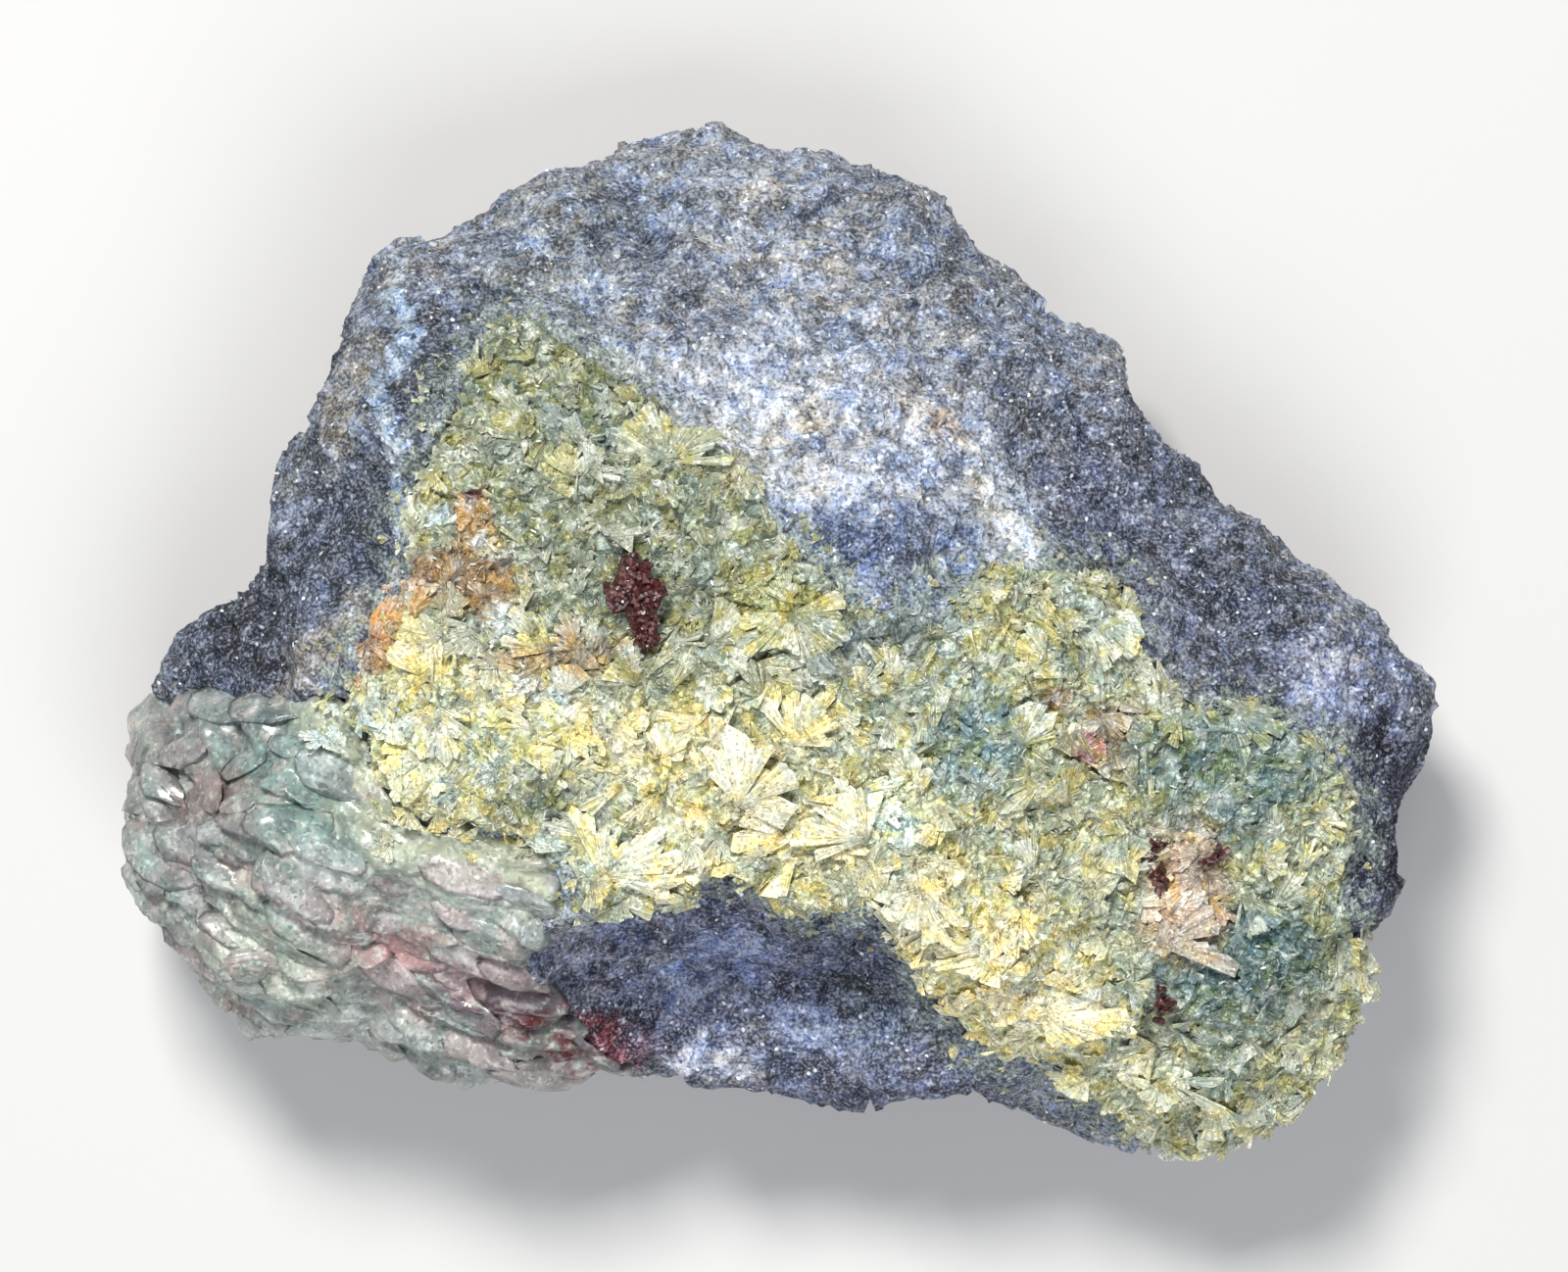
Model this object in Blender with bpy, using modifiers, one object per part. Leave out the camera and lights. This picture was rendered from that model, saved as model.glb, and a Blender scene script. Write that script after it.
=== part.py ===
"""Pyrophyllite on lazulite-bearing quartz rock, a hand specimen that lies on its broken back.

The specimen is seen from its front, looking down -Z: +X is its right and +Y its top.
Metres, +Z up, with the origin on the resting face under the middle of the specimen.
"""

import math
import random

import bmesh
import bpy
from mathutils import Matrix, Vector

MM = 0.001

# Driving sizes of the specimen, in millimetres
SPECIMEN_DEPTH = 34.0
HALF_WIDTH = 40.0
WAIST_HEIGHT = 11.0
ROCK_RISE = 0.9
CRUST_THICKNESS = 1.9
BED_DEPTH = 1.0
FIT_GAP = 0.3
SCALY_DEPTH = 2.0
SCALY_RISE = 1.0
SCALY_WRAP = 2.8
SCALY_FOOT = 7.0

# Heights that are clear of the specimen, below and above it, for cutters that pass right through
BELOW = -5.0
ABOVE = 60.0

# Share of the silhouette at each height of the rock and of the scaly mass, from the back to the front
ROCK_LEVELS = [
    (-3.0, 0.80),
    (3.5, 0.92),
    (WAIST_HEIGHT, 0.985),
    (0.6 * SPECIMEN_DEPTH, 0.97),
    (1.4 * SPECIMEN_DEPTH, 0.94),
]
SCALY_LEVELS = [(2.0, 0.97), (WAIST_HEIGHT, 1.01), (ABOVE, 0.985)]

# Broken relief of the rock, each laid over the one before: (name, texture, size, depth, middle)
ROCK_RELIEF = [
    ("broken_lumps", "CLOUDS", 10.0, 3.6, 0.5),
    ("broken_ledges", "VORONOI", 6.0, 2.4, 0.35),
    ("coarse_grain", "CLOUDS", 2.2, 1.1, 0.5),
]
ROCK_VOXEL = 0.9
ROCK_FACES_KEPT = 0.09

# Low hollow under the crust's broken edge: an ellipsoid scooped out of the rock
SCOOP_CENTRE = (-2.0, -31.5, 32.5)
SCOOP_RADII = (21.0, 14.5, 15.0)
SCOOP_TURN = -8.0

# Silhouette of the rock from the front, in millimetres, clockwise from the left tip
SILHOUETTE = [
    (-44.9, -16.1), (-44.2, -14.0), (-44.3, -11.6), (-44.7, -8.5), (-44.2, -5.9), (-43.8, -3.5),
    (-42.7, -1.3), (-38.8, 1.9), (-37.1, 6.0), (-35.3, 8.7), (-33.4, 11.7), (-33.5, 13.5),
    (-31.4, 18.0), (-30.3, 21.2), (-28.5, 23.7), (-27.0, 26.7), (-24.9, 27.4), (-20.7, 29.3),
    (-20.4, 30.7), (-15.5, 32.0), (-10.1, 33.3), (-7.4, 34.4), (-4.5, 35.2), (-1.6, 33.9),
    (-0.1, 33.5), (1.5, 34.0), (4.1, 33.9), (5.1, 32.7), (8.8, 32.0), (12.0, 30.0),
    (14.0, 26.5), (17.2, 23.1), (20.2, 21.6), (22.9, 19.5), (23.3, 16.9), (25.5, 14.0),
    (30.4, 8.9), (34.4, 6.1), (37.5, 2.5), (41.7, -0.8), (45.1, -3.5), (44.6, -7.2),
    (43.4, -12.6), (43.1, -16.3), (40.8, -20.9), (38.8, -22.0), (38.0, -24.0), (36.4, -27.6),
    (33.1, -30.8), (30.1, -33.5), (27.2, -35.0), (23.2, -34.7), (15.3, -32.9), (11.6, -31.3),
    (9.3, -31.9), (5.6, -31.1), (-0.3, -32.1), (-5.0, -31.6), (-8.8, -30.2), (-13.5, -29.8),
    (-23.6, -29.7), (-25.8, -28.9), (-29.1, -26.4), (-35.0, -26.2), (-39.2, -23.7), (-41.2, -20.0),
]

# Broken faces of the front: (x, y, z in mm on the face, compass azimuth it leans to, tilt from level)
FRONT_FACES = {
    "crust_plateau": (-8.0, -4.0, 32.0, 262.0, 5.0),
    "right_plateau": (24.0, -14.0, 27.2, 330.0, 17.0),
    "upper_slope": (-6.0, 15.5, 29.6, 82.0, 33.0),
    "brow_slope": (4.0, 27.0, 20.2, 88.0, 50.0),
    "right_slope": (21.0, 8.0, 24.2, 42.0, 36.0),
    "left_slope": (-26.6, 12.0, 31.0, 166.0, 49.0),
    "left_shoulder": (-29.0, -4.0, 30.4, 190.0, 14.0),
    "left_rim": (-39.5, -13.0, 24.5, 205.0, 42.0),
    "low_left_rim": (-31.0, -21.5, 25.5, 246.0, 44.0),
    "low_break": (-4.0, -19.0, 30.0, 270.0, 46.0),
    "low_right_break": (15.0, -27.5, 24.6, 262.0, 44.0),
    "right_rim": (40.5, -12.0, 20.6, 8.0, 52.0),
    "low_right_rim": (34.0, -25.5, 20.5, 325.0, 44.0),
}

# Chips broken off the back, as FRONT_FACES, leaning down
BACK_FACES = {
    "back_top": (2.0, 29.0, 4.0, 85.0, 148.0),
    "back_left": (-33.0, 2.0, 4.0, 160.0, 146.0),
    "back_right": (35.0, -8.0, 4.0, 20.0, 147.0),
    "back_low": (-8.0, -28.0, 3.4, 262.0, 150.0),
    "back_low_right": (29.0, -29.0, 4.0, 312.0, 147.0),
}

# Outline of the yellow crystal crust, clockwise from its top tip
CRUST_OUTLINE = [
    (-17.3, 22.2), (-14.2, 19.6), (-9.6, 16.3), (-8.0, 13.9), (-4.8, 13.0), (-2.1, 10.9),
    (-1.7, 8.9), (1.4, 5.1), (6.6, 1.6), (10.5, 1.1), (13.9, 4.6), (21.1, 4.8),
    (23.6, 2.6), (23.5, -0.7), (26.8, -4.8), (32.1, -5.5), (36.8, -7.5), (38.7, -11.3),
    (39.0, -14.2), (37.9, -17.3), (39.8, -22.0), (40.2, -24.4), (38.8, -28.2), (35.6, -32.4),
    (31.6, -35.4), (27.6, -36.4), (24.6, -34.8), (22.9, -32.6), (20.5, -31.5), (17.8, -28.7),
    (15.3, -29.2), (13.0, -27.3), (9.5, -23.2), (7.0, -19.5), (7.0, -17.7), (4.4, -18.4),
    (0.6, -18.4), (-2.2, -16.4), (-5.0, -15.6), (-6.3, -17.7), (-10.3, -18.4), (-13.6, -18.0),
    (-14.6, -15.0), (-18.5, -13.3), (-25.2, -12.0), (-27.8, -7.4), (-29.6, -3.4), (-27.8, 0.6),
    (-25.2, 3.9), (-25.2, 9.2), (-23.8, 11.9), (-21.9, 16.5), (-19.9, 20.4),
]

# Outline of the scaly mass at the left: its inner side follows the crust, its outer side clears the rock
SCALY_OUTLINE = [
    (-30.2, -3.4), (-28.3, -7.7), (-25.5, -12.6), (-18.8, -13.8), (-15.1, -15.5), (-14.2, -18.6),
    (-18.5, -21.0), (-15.5, -25.5), (-10.0, -31.0), (-14.0, -34.0), (-34.0, -33.0), (-44.0, -27.0),
    (-49.0, -17.0), (-47.0, -4.5), (-39.5, -3.0), (-34.5, -4.2),
]

# Lower left rim of the scaly mass, counter-clockwise, and the rows of plates along it: each row has
# its inset from the rim and its height on the side wall, or None on the front
SCALY_RIM = [
    (-42.5, -3.0), (-44.3, -8.5), (-44.5, -14.5), (-41.0, -20.5), (-36.0, -25.4),
    (-29.5, -26.6), (-23.5, -29.3), (-16.5, -29.8),
]
PLATE_ROWS = [(-0.3, 12.5), (-0.1, 17.0), (2.2, None), (5.2, None), (8.4, None), (11.6, None)]
PLATE_LENGTH = 6.4
PLATE_THICKNESS = 2.2
PLATE_LIFT = 17.0
WALL_PLATE_TILT = 74.0
PLATE_SEED = 5

# Star fans of the crust that stand out: (x, y, radius) in millimetres
LARGE_FANS = [
    (-12.2, -16.0, 5.4), (-3.0, -11.2, 5.6), (0.8, -7.2, 5.0), (5.6, -13.5, 5.0), (14.6, -21.8, 6.2),
    (17.5, -25.6, 4.6), (9.2, -16.8, 4.6), (-23.5, -4.4, 4.8), (-20.5, -8.6, 4.6), (0.6, 1.6, 4.6),
    (20.6, 1.4, 4.4), (26.0, -30.2, 4.6), (25.5, -20.8, 4.4), (-7.6, 11.8, 4.2), (-17.2, 14.6, 4.0),
]
BLADE_REACH = (0.86, 1.1)
NOTCH_REACH = (0.62, 0.76)
FAN_LEAN = 0.22
FAN_SPACING = 4.7
FAN_RADIUS = (3.0, 4.2)
FAN_SEED = 11

# Dark red rutile: (x, y, azimuth of its length, length, thickness) in millimetres
RUTILE = {
    "rutile_cluster": [
        (-10.5, 4.0, 70.0, 3.8, 2.5),
        (-9.6, 0.9, 105.0, 4.0, 2.3),
        (-11.2, 2.2, 25.0, 2.8, 2.0),
        (-9.0, 2.9, 150.0, 2.6, 2.1),
    ],
    "rutile_needle": [(25.7, -25.2, 84.0, 3.2, 1.3)],
    "rutile_grain_1": [(29.0, -15.3, 20.0, 1.9, 1.5)],
    "rutile_grain_2": [(25.0, -14.5, 60.0, 1.7, 1.3)],
    "rutile_grain_3": [(25.6, -16.6, 130.0, 1.5, 1.2)],
}

COLOURS = {
    "matrix_rock": ((0.27, 0.29, 0.38), 0.80, 0.0),
    "pyrophyllite_crust": ((0.60, 0.57, 0.30), 0.40, 0.0),
    "scaly_pyrophyllite": ((0.55, 0.55, 0.50), 0.35, 0.0),
    "rutile": ((0.16, 0.02, 0.02), 0.25, 0.4),
}


def clear_scene():
    for obj in list(bpy.data.objects):
        bpy.data.objects.remove(obj)


def new_collection(name):
    made = bpy.data.collections.new(name)
    bpy.context.scene.collection.children.link(made)
    return made


def finish_material(name):
    colour, roughness, metallic = COLOURS[name]
    material = bpy.data.materials.new(name)
    material.use_nodes = True
    shader = material.node_tree.nodes["Principled BSDF"]
    shader.inputs["Base Color"].default_value = (*colour, 1.0)
    shader.inputs["Roughness"].default_value = roughness
    shader.inputs["Metallic"].default_value = metallic
    return material


def part_object(name, mesh, collection, material=None):
    obj = bpy.data.objects.new(name, mesh)
    collection.objects.link(obj)
    if material:
        mesh.materials.clear()
        mesh.materials.append(material)
    return obj


def helper_object(name, bm, collection):
    """A cutter or a guide, which no render shows."""
    bmesh.ops.triangulate(bm, faces=bm.faces)
    bmesh.ops.recalc_face_normals(bm, faces=bm.faces)
    mesh = bpy.data.meshes.new(name)
    bm.to_mesh(mesh)
    bm.free()
    obj = part_object(name, mesh, collection)
    obj.hide_render = True
    obj.display_type = "WIRE"
    return obj


def evaluated_mesh(obj, name):
    """The object's mesh with its modifiers applied."""
    bpy.context.view_layer.update()
    graph = bpy.context.evaluated_depsgraph_get()
    mesh = bpy.data.meshes.new_from_object(obj.evaluated_get(graph))
    mesh.name = name
    return mesh


def add_boolean(obj, operation, other):
    """One Boolean with an object, or with every object of a collection."""
    cut = obj.modifiers.new(operation.lower(), "BOOLEAN")
    cut.operation = operation
    cut.solver = "EXACT"
    if isinstance(other, bpy.types.Collection):
        cut.operand_type = "COLLECTION"
        cut.collection = other
    else:
        cut.object = other
    return cut


def outline_block(outline, levels):
    """A closed block with one ring for each (height, share of the outline's size), from the bottom up."""
    bm = bmesh.new()
    low_z, low_share = levels[0]
    ring = [bm.verts.new((x * low_share * MM, y * low_share * MM, low_z * MM)) for x, y in outline]
    bottom = bm.faces.new(ring)
    top = bottom
    share = low_share
    for height, next_share in levels[1:]:
        extruded = bmesh.ops.extrude_face_region(bm, geom=[top])["geom"]
        if top is not bottom:
            bmesh.ops.delete(bm, geom=[top], context="FACES_ONLY")
        verts = [item for item in extruded if isinstance(item, bmesh.types.BMVert)]
        top = [item for item in extruded if isinstance(item, bmesh.types.BMFace)][0]
        grow = next_share / share
        for vert in verts:
            vert.co = Vector((vert.co.x * grow, vert.co.y * grow, height * MM))
        share = next_share
    return bm


def face_direction(azimuth, tilt):
    """The outward direction of a face that leans to a compass azimuth by its tilt from level, in degrees."""
    flat = math.sin(math.radians(tilt))
    turn = math.radians(azimuth)
    return Vector((flat * math.cos(turn), flat * math.sin(turn), math.cos(math.radians(tilt))))


def chiselled_form(faces, raised=0.0):
    """A convex form: a large block split off along each broken face, raised by some millimetres."""
    bm = bmesh.new()
    bmesh.ops.create_cube(bm, size=160 * MM)
    for x, y, z, azimuth, tilt in faces.values():
        direction = face_direction(azimuth, tilt)
        point = Vector((x, y, z)) * MM + direction * raised * MM
        geometry = bm.verts[:] + bm.edges[:] + bm.faces[:]
        cut = bmesh.ops.bisect_plane(
            bm, geom=geometry, plane_co=point, plane_no=direction, clear_outer=True
        )["geom_cut"]
        rim = [item for item in cut if isinstance(item, bmesh.types.BMEdge)]
        bmesh.ops.edgeloop_fill(bm, edges=rim)
    return bm


def grown_outline(outline, gap):
    """The clockwise outline moved outwards by gap, in millimetres."""
    grown = []
    for i, (x, y) in enumerate(outline):
        before = Vector(outline[i - 1])
        after = Vector(outline[(i + 1) % len(outline)])
        along = (after - before).normalized()
        grown.append((x - along.y * gap, y + along.x * gap))
    return grown


def contains(outline, x, y):
    """Whether the point lies inside the outline, by counting the edges to its right."""
    inside = False
    for (x1, y1), (x2, y2) in zip(outline, outline[1:] + outline[:1]):
        if (y1 > y) != (y2 > y) and x < x1 + (y - y1) * (x2 - x1) / (y2 - y1):
            inside = not inside
    return inside


def front_surface(x, y, raised=0.0):
    """Height in mm and direction of the chiselled front above the point x, y, where the front is lowest."""
    best = None
    for px, py, pz, azimuth, tilt in FRONT_FACES.values():
        n = face_direction(azimuth, tilt)
        p = Vector((px, py, pz)) + n * raised
        z = p.z - (n.x * (x - p.x) + n.y * (y - p.y)) / n.z
        if best is None or z < best[0]:
            best = (z, n)
    return best


def noise_texture(name, kind, size):
    texture = bpy.data.textures.new(name, kind)
    texture.noise_scale = size * MM
    return texture


def roughen(obj, name, kind, size, depth, middle):
    """Lumps and pits of one size, pushed along the surface's own direction."""
    push = obj.modifiers.new(name, "DISPLACE")
    push.texture = noise_texture(name, kind, size)
    push.strength = depth * MM
    push.mid_level = middle


def add_fan(bm, x, y, radius, rng):
    """One star fan: a low cone whose rim is drawn out into blades, tilted a little at random."""
    blades = rng.choice((7, 8, 9))
    z, direction = front_surface(x, y, CRUST_THICKNESS)
    lean = direction + Vector((rng.uniform(-FAN_LEAN, FAN_LEAN), rng.uniform(-FAN_LEAN, FAN_LEAN), 0.0))
    turn = lean.normalized().to_track_quat("Z", "Y").to_matrix().to_4x4()
    spin = Matrix.Rotation(rng.uniform(0.0, math.tau), 4, "Z")
    height = radius * rng.uniform(0.34, 0.46)
    place = Matrix.Translation((Vector((x, y, z)) + 0.25 * height * direction) * MM) @ turn @ spin
    cone = bmesh.ops.create_cone(
        bm, cap_ends=True, segments=2 * blades, radius1=radius * MM, radius2=0.0, depth=height * MM
    )["verts"]
    lift = rng.uniform(0.05, 0.2) * height * MM
    for vert in cone:
        flat = math.hypot(vert.co.x, vert.co.y)
        if flat < 0.01 * MM:
            vert.co.z += lift
            continue
        blade = round(math.atan2(vert.co.y, vert.co.x) / math.tau * 2 * blades) % 2
        share = rng.uniform(*(BLADE_REACH if blade else NOTCH_REACH))
        vert.co.x *= share
        vert.co.y *= share
        vert.co.z -= 0.0 if blade else 0.35 * height * MM
    bmesh.ops.transform(bm, matrix=place, verts=cone)


def fan_places(rng):
    """Places of the star fans: the large ones as listed, then smaller ones at random between them."""
    places = list(LARGE_FANS)
    tries = 0
    while tries < 4000:
        tries += 1
        x, y = rng.uniform(-30.0, 40.0), rng.uniform(-36.0, 23.0)
        if not contains(CRUST_OUTLINE, x, y):
            continue
        if all(math.hypot(x - a, y - b) > max(FAN_SPACING, 0.8 * r) for a, b, r in places):
            places.append((x, y, rng.uniform(*FAN_RADIUS)))
    return places


def crystal(x, y, azimuth, length, thickness):
    """A short eight-sided prism with a blunt tip, lying half sunk in the crust."""
    z, direction = front_surface(x, y, CRUST_THICKNESS)
    centre = Vector((x, y, z + 0.3 * thickness)) * MM
    along = Vector((math.cos(math.radians(azimuth)), math.sin(math.radians(azimuth)), 0.2))
    along = (along - 0.8 * direction * along.dot(direction)).normalized()
    turn = along.to_track_quat("Z", "Y").to_matrix().to_4x4()
    bm = bmesh.new()
    radius = 0.5 * thickness * MM
    shaft = 0.66 * length * MM
    bmesh.ops.create_cone(
        bm, cap_ends=True, segments=8, radius1=0.9 * radius, radius2=radius, depth=shaft
    )
    top = max(bm.faces, key=lambda face: face.calc_center_median().z)
    extruded = bmesh.ops.extrude_face_region(bm, geom=[top])["geom"]
    tip = [item for item in extruded if isinstance(item, bmesh.types.BMVert)]
    bmesh.ops.delete(bm, geom=[top], context="FACES_ONLY")
    bmesh.ops.scale(bm, vec=(0.35, 0.5, 1.0), verts=tip)
    bmesh.ops.translate(bm, vec=(0.0, 0.0, 0.22 * length * MM), verts=tip)
    bmesh.ops.transform(bm, matrix=Matrix.Translation(centre) @ turn, verts=bm.verts)
    return bm


def scale_rows():
    """Places of the scaly plates, like shingles in rows along the rim: (centre, direction, along, length)."""
    rng = random.Random(PLATE_SEED)
    for inset, wall_height in PLATE_ROWS:
        for start, end in zip(SCALY_RIM, SCALY_RIM[1:]):
            before, after = Vector(start), Vector(end)
            along = (after - before).normalized()
            inward = Vector((-along.y, along.x))
            spot = before.lerp(after, rng.uniform(0.35, 0.65)) + inward * (inset + rng.uniform(-0.5, 0.5))
            if wall_height:
                height = wall_height + rng.uniform(-0.8, 0.8)
                azimuth = math.degrees(math.atan2(-inward.y, -inward.x))
                tilt = WALL_PLATE_TILT
            else:
                height, face = front_surface(spot.x, spot.y, SCALY_RISE)
                azimuth = math.degrees(math.atan2(face.y, face.x))
                tilt = math.degrees(math.acos(face.z)) - PLATE_LIFT
            direction = face_direction(azimuth + rng.uniform(-10, 10), tilt + rng.uniform(-6, 6))
            length = PLATE_LENGTH * rng.uniform(0.85, 1.2)
            yield Vector((spot.x, spot.y, height)), direction, along, length


def add_scale(bm, centre, direction, along, length):
    """One lens-shaped plate, long along the rim and thin through its direction."""
    side = Vector((along.x, along.y, 0.0))
    side = (side - direction * side.dot(direction)).normalized()
    across = direction.cross(side)
    turn = Matrix((side, across, direction)).transposed().to_4x4()
    size = Matrix.Diagonal((0.6 * length * MM, 0.42 * length * MM, 0.5 * PLATE_THICKNESS * MM, 1.0))
    bmesh.ops.create_icosphere(
        bm, subdivisions=1, radius=1.0, matrix=Matrix.Translation(centre * MM) @ turn @ size
    )


def build_matrix(parts, cutters, bed_cutters, material):
    """The granular blue-grey rock that carries everything."""
    raw = helper_object("raw_block", outline_block(SILHOUETTE, ROCK_LEVELS), cutters)
    front = helper_object("front_form", chiselled_form(FRONT_FACES, ROCK_RISE), cutters)
    back = helper_object("back_form", chiselled_form(BACK_FACES), cutters)
    add_boolean(raw, "INTERSECT", front)
    add_boolean(raw, "INTERSECT", back)

    scoop = bmesh.new()
    place = Matrix.Translation(Vector(SCOOP_CENTRE) * MM)
    turn = Matrix.Rotation(math.radians(SCOOP_TURN), 4, "Z")
    size = Matrix.Diagonal((*(radius * MM for radius in SCOOP_RADII), 1.0))
    bmesh.ops.create_icosphere(scoop, subdivisions=3, radius=1.0, matrix=place @ turn @ size)
    add_boolean(raw, "DIFFERENCE", helper_object("low_scoop", scoop, cutters))

    remesh = raw.modifiers.new("even_mesh", "REMESH")
    remesh.mode = "VOXEL"
    remesh.voxel_size = ROCK_VOXEL * MM
    for relief in ROCK_RELIEF:
        roughen(raw, *relief)
    fewer = raw.modifiers.new("fewer_faces", "DECIMATE")
    fewer.ratio = ROCK_FACES_KEPT

    rock = part_object("matrix_rock", evaluated_mesh(raw, "matrix_rock"), parts, material)
    floor = bmesh.new()
    bmesh.ops.create_cube(floor, size=200 * MM, matrix=Matrix.Translation((0.0, 0.0, -100 * MM)))
    add_boolean(rock, "DIFFERENCE", helper_object("resting_plane", floor, cutters))
    add_boolean(rock, "DIFFERENCE", bed_cutters)
    return rock


def build_crust(parts, cutters, fans, bed_cutters, rutile_beds, material):
    """The crust of grown-together crystals, with star fans over its upper face."""
    prism = outline_block(CRUST_OUTLINE, [(BELOW, 1.0), (ABOVE, 1.0)])
    shell = helper_object("crust_shell", prism, cutters)
    under = chiselled_form(FRONT_FACES, -BED_DEPTH)
    under_form = helper_object("crust_underside", under, cutters)
    top_form = helper_object("crust_top", chiselled_form(FRONT_FACES, CRUST_THICKNESS), cutters)
    add_boolean(shell, "INTERSECT", top_form)
    add_boolean(shell, "DIFFERENCE", under_form)

    rng = random.Random(FAN_SEED)
    for number, (x, y, radius) in enumerate(fan_places(rng)):
        fan = bmesh.new()
        add_fan(fan, x, y, radius, rng)
        helper_object(f"fan_{number}", fan, fans)

    crust = part_object("pyrophyllite_crust", evaluated_mesh(shell, "pyrophyllite_crust"), parts, material)
    add_boolean(crust, "UNION", fans)
    limit = outline_block(grown_outline(CRUST_OUTLINE, 0.1), [(BELOW, 1.0), (ABOVE, 1.0)])
    add_boolean(crust, "INTERSECT", helper_object("crust_limit", limit, cutters))
    add_boolean(crust, "DIFFERENCE", rutile_beds)

    bed = outline_block(grown_outline(CRUST_OUTLINE, 0.1 + FIT_GAP), [(BELOW, 1.0), (ABOVE, 1.0)])
    bed_cutter = helper_object("crust_bed", bed, bed_cutters)
    deeper = chiselled_form(FRONT_FACES, -BED_DEPTH - FIT_GAP)
    add_boolean(bed_cutter, "DIFFERENCE", helper_object("crust_bed_floor", deeper, cutters))
    return crust


def scaly_core(name, gap, cutters):
    """The rock inside the scaly mass, which wraps its front and its left end."""
    core = helper_object(name, chiselled_form(FRONT_FACES, -SCALY_DEPTH - gap), cutters)
    share = 1.0 - (SCALY_WRAP + gap) / HALF_WIDTH
    sides = outline_block(SILHOUETTE, [(BELOW, share), (ABOVE, share)])
    add_boolean(core, "INTERSECT", helper_object(f"{name}_sides", sides, cutters))
    return core


def build_scaly_mass(parts, cutters, scales, bed_cutters, material):
    """The foliated pyrophyllite that wraps the left end in overlapping plates."""
    prism = outline_block(SCALY_OUTLINE, [(SCALY_FOOT, 1.0), (ABOVE, 1.0)])
    slab = helper_object("scaly_slab", prism, cutters)
    sides = outline_block(SILHOUETTE, SCALY_LEVELS)
    add_boolean(slab, "INTERSECT", helper_object("scaly_sides", sides, cutters))
    top_form = helper_object("scaly_top", chiselled_form(FRONT_FACES, SCALY_RISE), cutters)
    add_boolean(slab, "INTERSECT", top_form)
    add_boolean(slab, "DIFFERENCE", scaly_core("scaly_core", 0.0, cutters))

    for number, place in enumerate(scale_rows()):
        plate = bmesh.new()
        add_scale(plate, *place)
        helper_object(f"plate_{number}", plate, scales)

    mass = part_object("scaly_pyrophyllite", evaluated_mesh(slab, "scaly_pyrophyllite"), parts, material)
    add_boolean(mass, "UNION", scales)
    limit = outline_block(SCALY_OUTLINE, [(BELOW, 1.0), (ABOVE, 1.0)])
    add_boolean(mass, "INTERSECT", helper_object("scaly_limit", limit, cutters))

    bed = outline_block(grown_outline(SCALY_OUTLINE, FIT_GAP), [(SCALY_FOOT - FIT_GAP, 1.0), (ABOVE, 1.0)])
    bed_cutter = helper_object("scaly_bed", bed, bed_cutters)
    add_boolean(bed_cutter, "DIFFERENCE", scaly_core("scaly_bed_core", FIT_GAP, cutters))
    return mass


def build_rutile(parts, rutile_beds, material):
    """Dark red crystals half sunk in the crust, each in a bed that is a little larger."""
    for name, crystals in RUTILE.items():
        pieces = new_collection(f"{name}_crystals")
        for number, (x, y, azimuth, length, thickness) in enumerate(crystals):
            helper_object(f"{name}_{number}", crystal(x, y, azimuth, length, thickness), pieces)
            bed = crystal(x, y, azimuth, length + 3 * FIT_GAP, thickness + 2.6 * FIT_GAP)
            helper_object(f"{name}_bed_{number}", bed, rutile_beds)
        first = pieces.objects[0]
        mesh = first.data.copy()
        body = part_object(name, mesh, parts, material)
        if len(crystals) > 1:
            pieces.objects.unlink(first)
            bpy.data.objects.remove(first)
            add_boolean(body, "UNION", pieces)
        pieces.hide_render = True


def stand_on_origin(parts):
    """Moves everything together until the origin is on the resting face, under the middle of the specimen."""
    bpy.context.view_layer.update()
    graph = bpy.context.evaluated_depsgraph_get()
    meshes = [obj.evaluated_get(graph).data for obj in parts.objects]
    points = [vert.co for mesh in meshes for vert in mesh.vertices]
    low = [min(point[axis] for point in points) for axis in range(3)]
    high = [max(point[axis] for point in points) for axis in range(3)]
    everything = list(bpy.data.objects)
    origin = bpy.data.objects.new("specimen_origin", None)
    for obj in everything:
        obj.parent = origin
    parts.objects.link(origin)
    origin.location = (-(low[0] + high[0]) / 2, -(low[1] + high[1]) / 2, -low[2])


def main():
    clear_scene()
    parts = new_collection("pyrophyllite_specimen")
    cutters = new_collection("cutters")
    fans = new_collection("fan_shapes")
    scales = new_collection("plate_shapes")
    bed_cutters = new_collection("bed_cutters")
    rutile_beds = new_collection("rutile_beds")
    materials = {name: finish_material(name) for name in COLOURS}

    build_rutile(parts, rutile_beds, materials["rutile"])
    build_crust(parts, cutters, fans, bed_cutters, rutile_beds, materials["pyrophyllite_crust"])
    build_scaly_mass(parts, cutters, scales, bed_cutters, materials["scaly_pyrophyllite"])
    build_matrix(parts, cutters, bed_cutters, materials["matrix_rock"])
    stand_on_origin(parts)


main()
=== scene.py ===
# %% [markdown]
# # A pyrophyllite hand specimen, finished in Blender
#
# The specimen is a broken lump of blue-grey, sugary quartz rock. A crust of yellow to green
# pyrophyllite covers the middle of its front: thin blades that grew outwards from many centres, so
# that it looks like a pavement of small fans. A scaly mass of the same mineral wraps the lower left
# end, and a few dark red rutile crystals sit in the crust.
#
# The solids give the size and the main shapes. This lesson makes the surfaces that the eye reads up
# close. First the frame is loaded, because every piece is placed from it.

import math
import random

import bmesh
import bpy
import numpy as np
from mathutils import Matrix, Vector, noise
from mathutils.bvhtree import BVHTree


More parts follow.
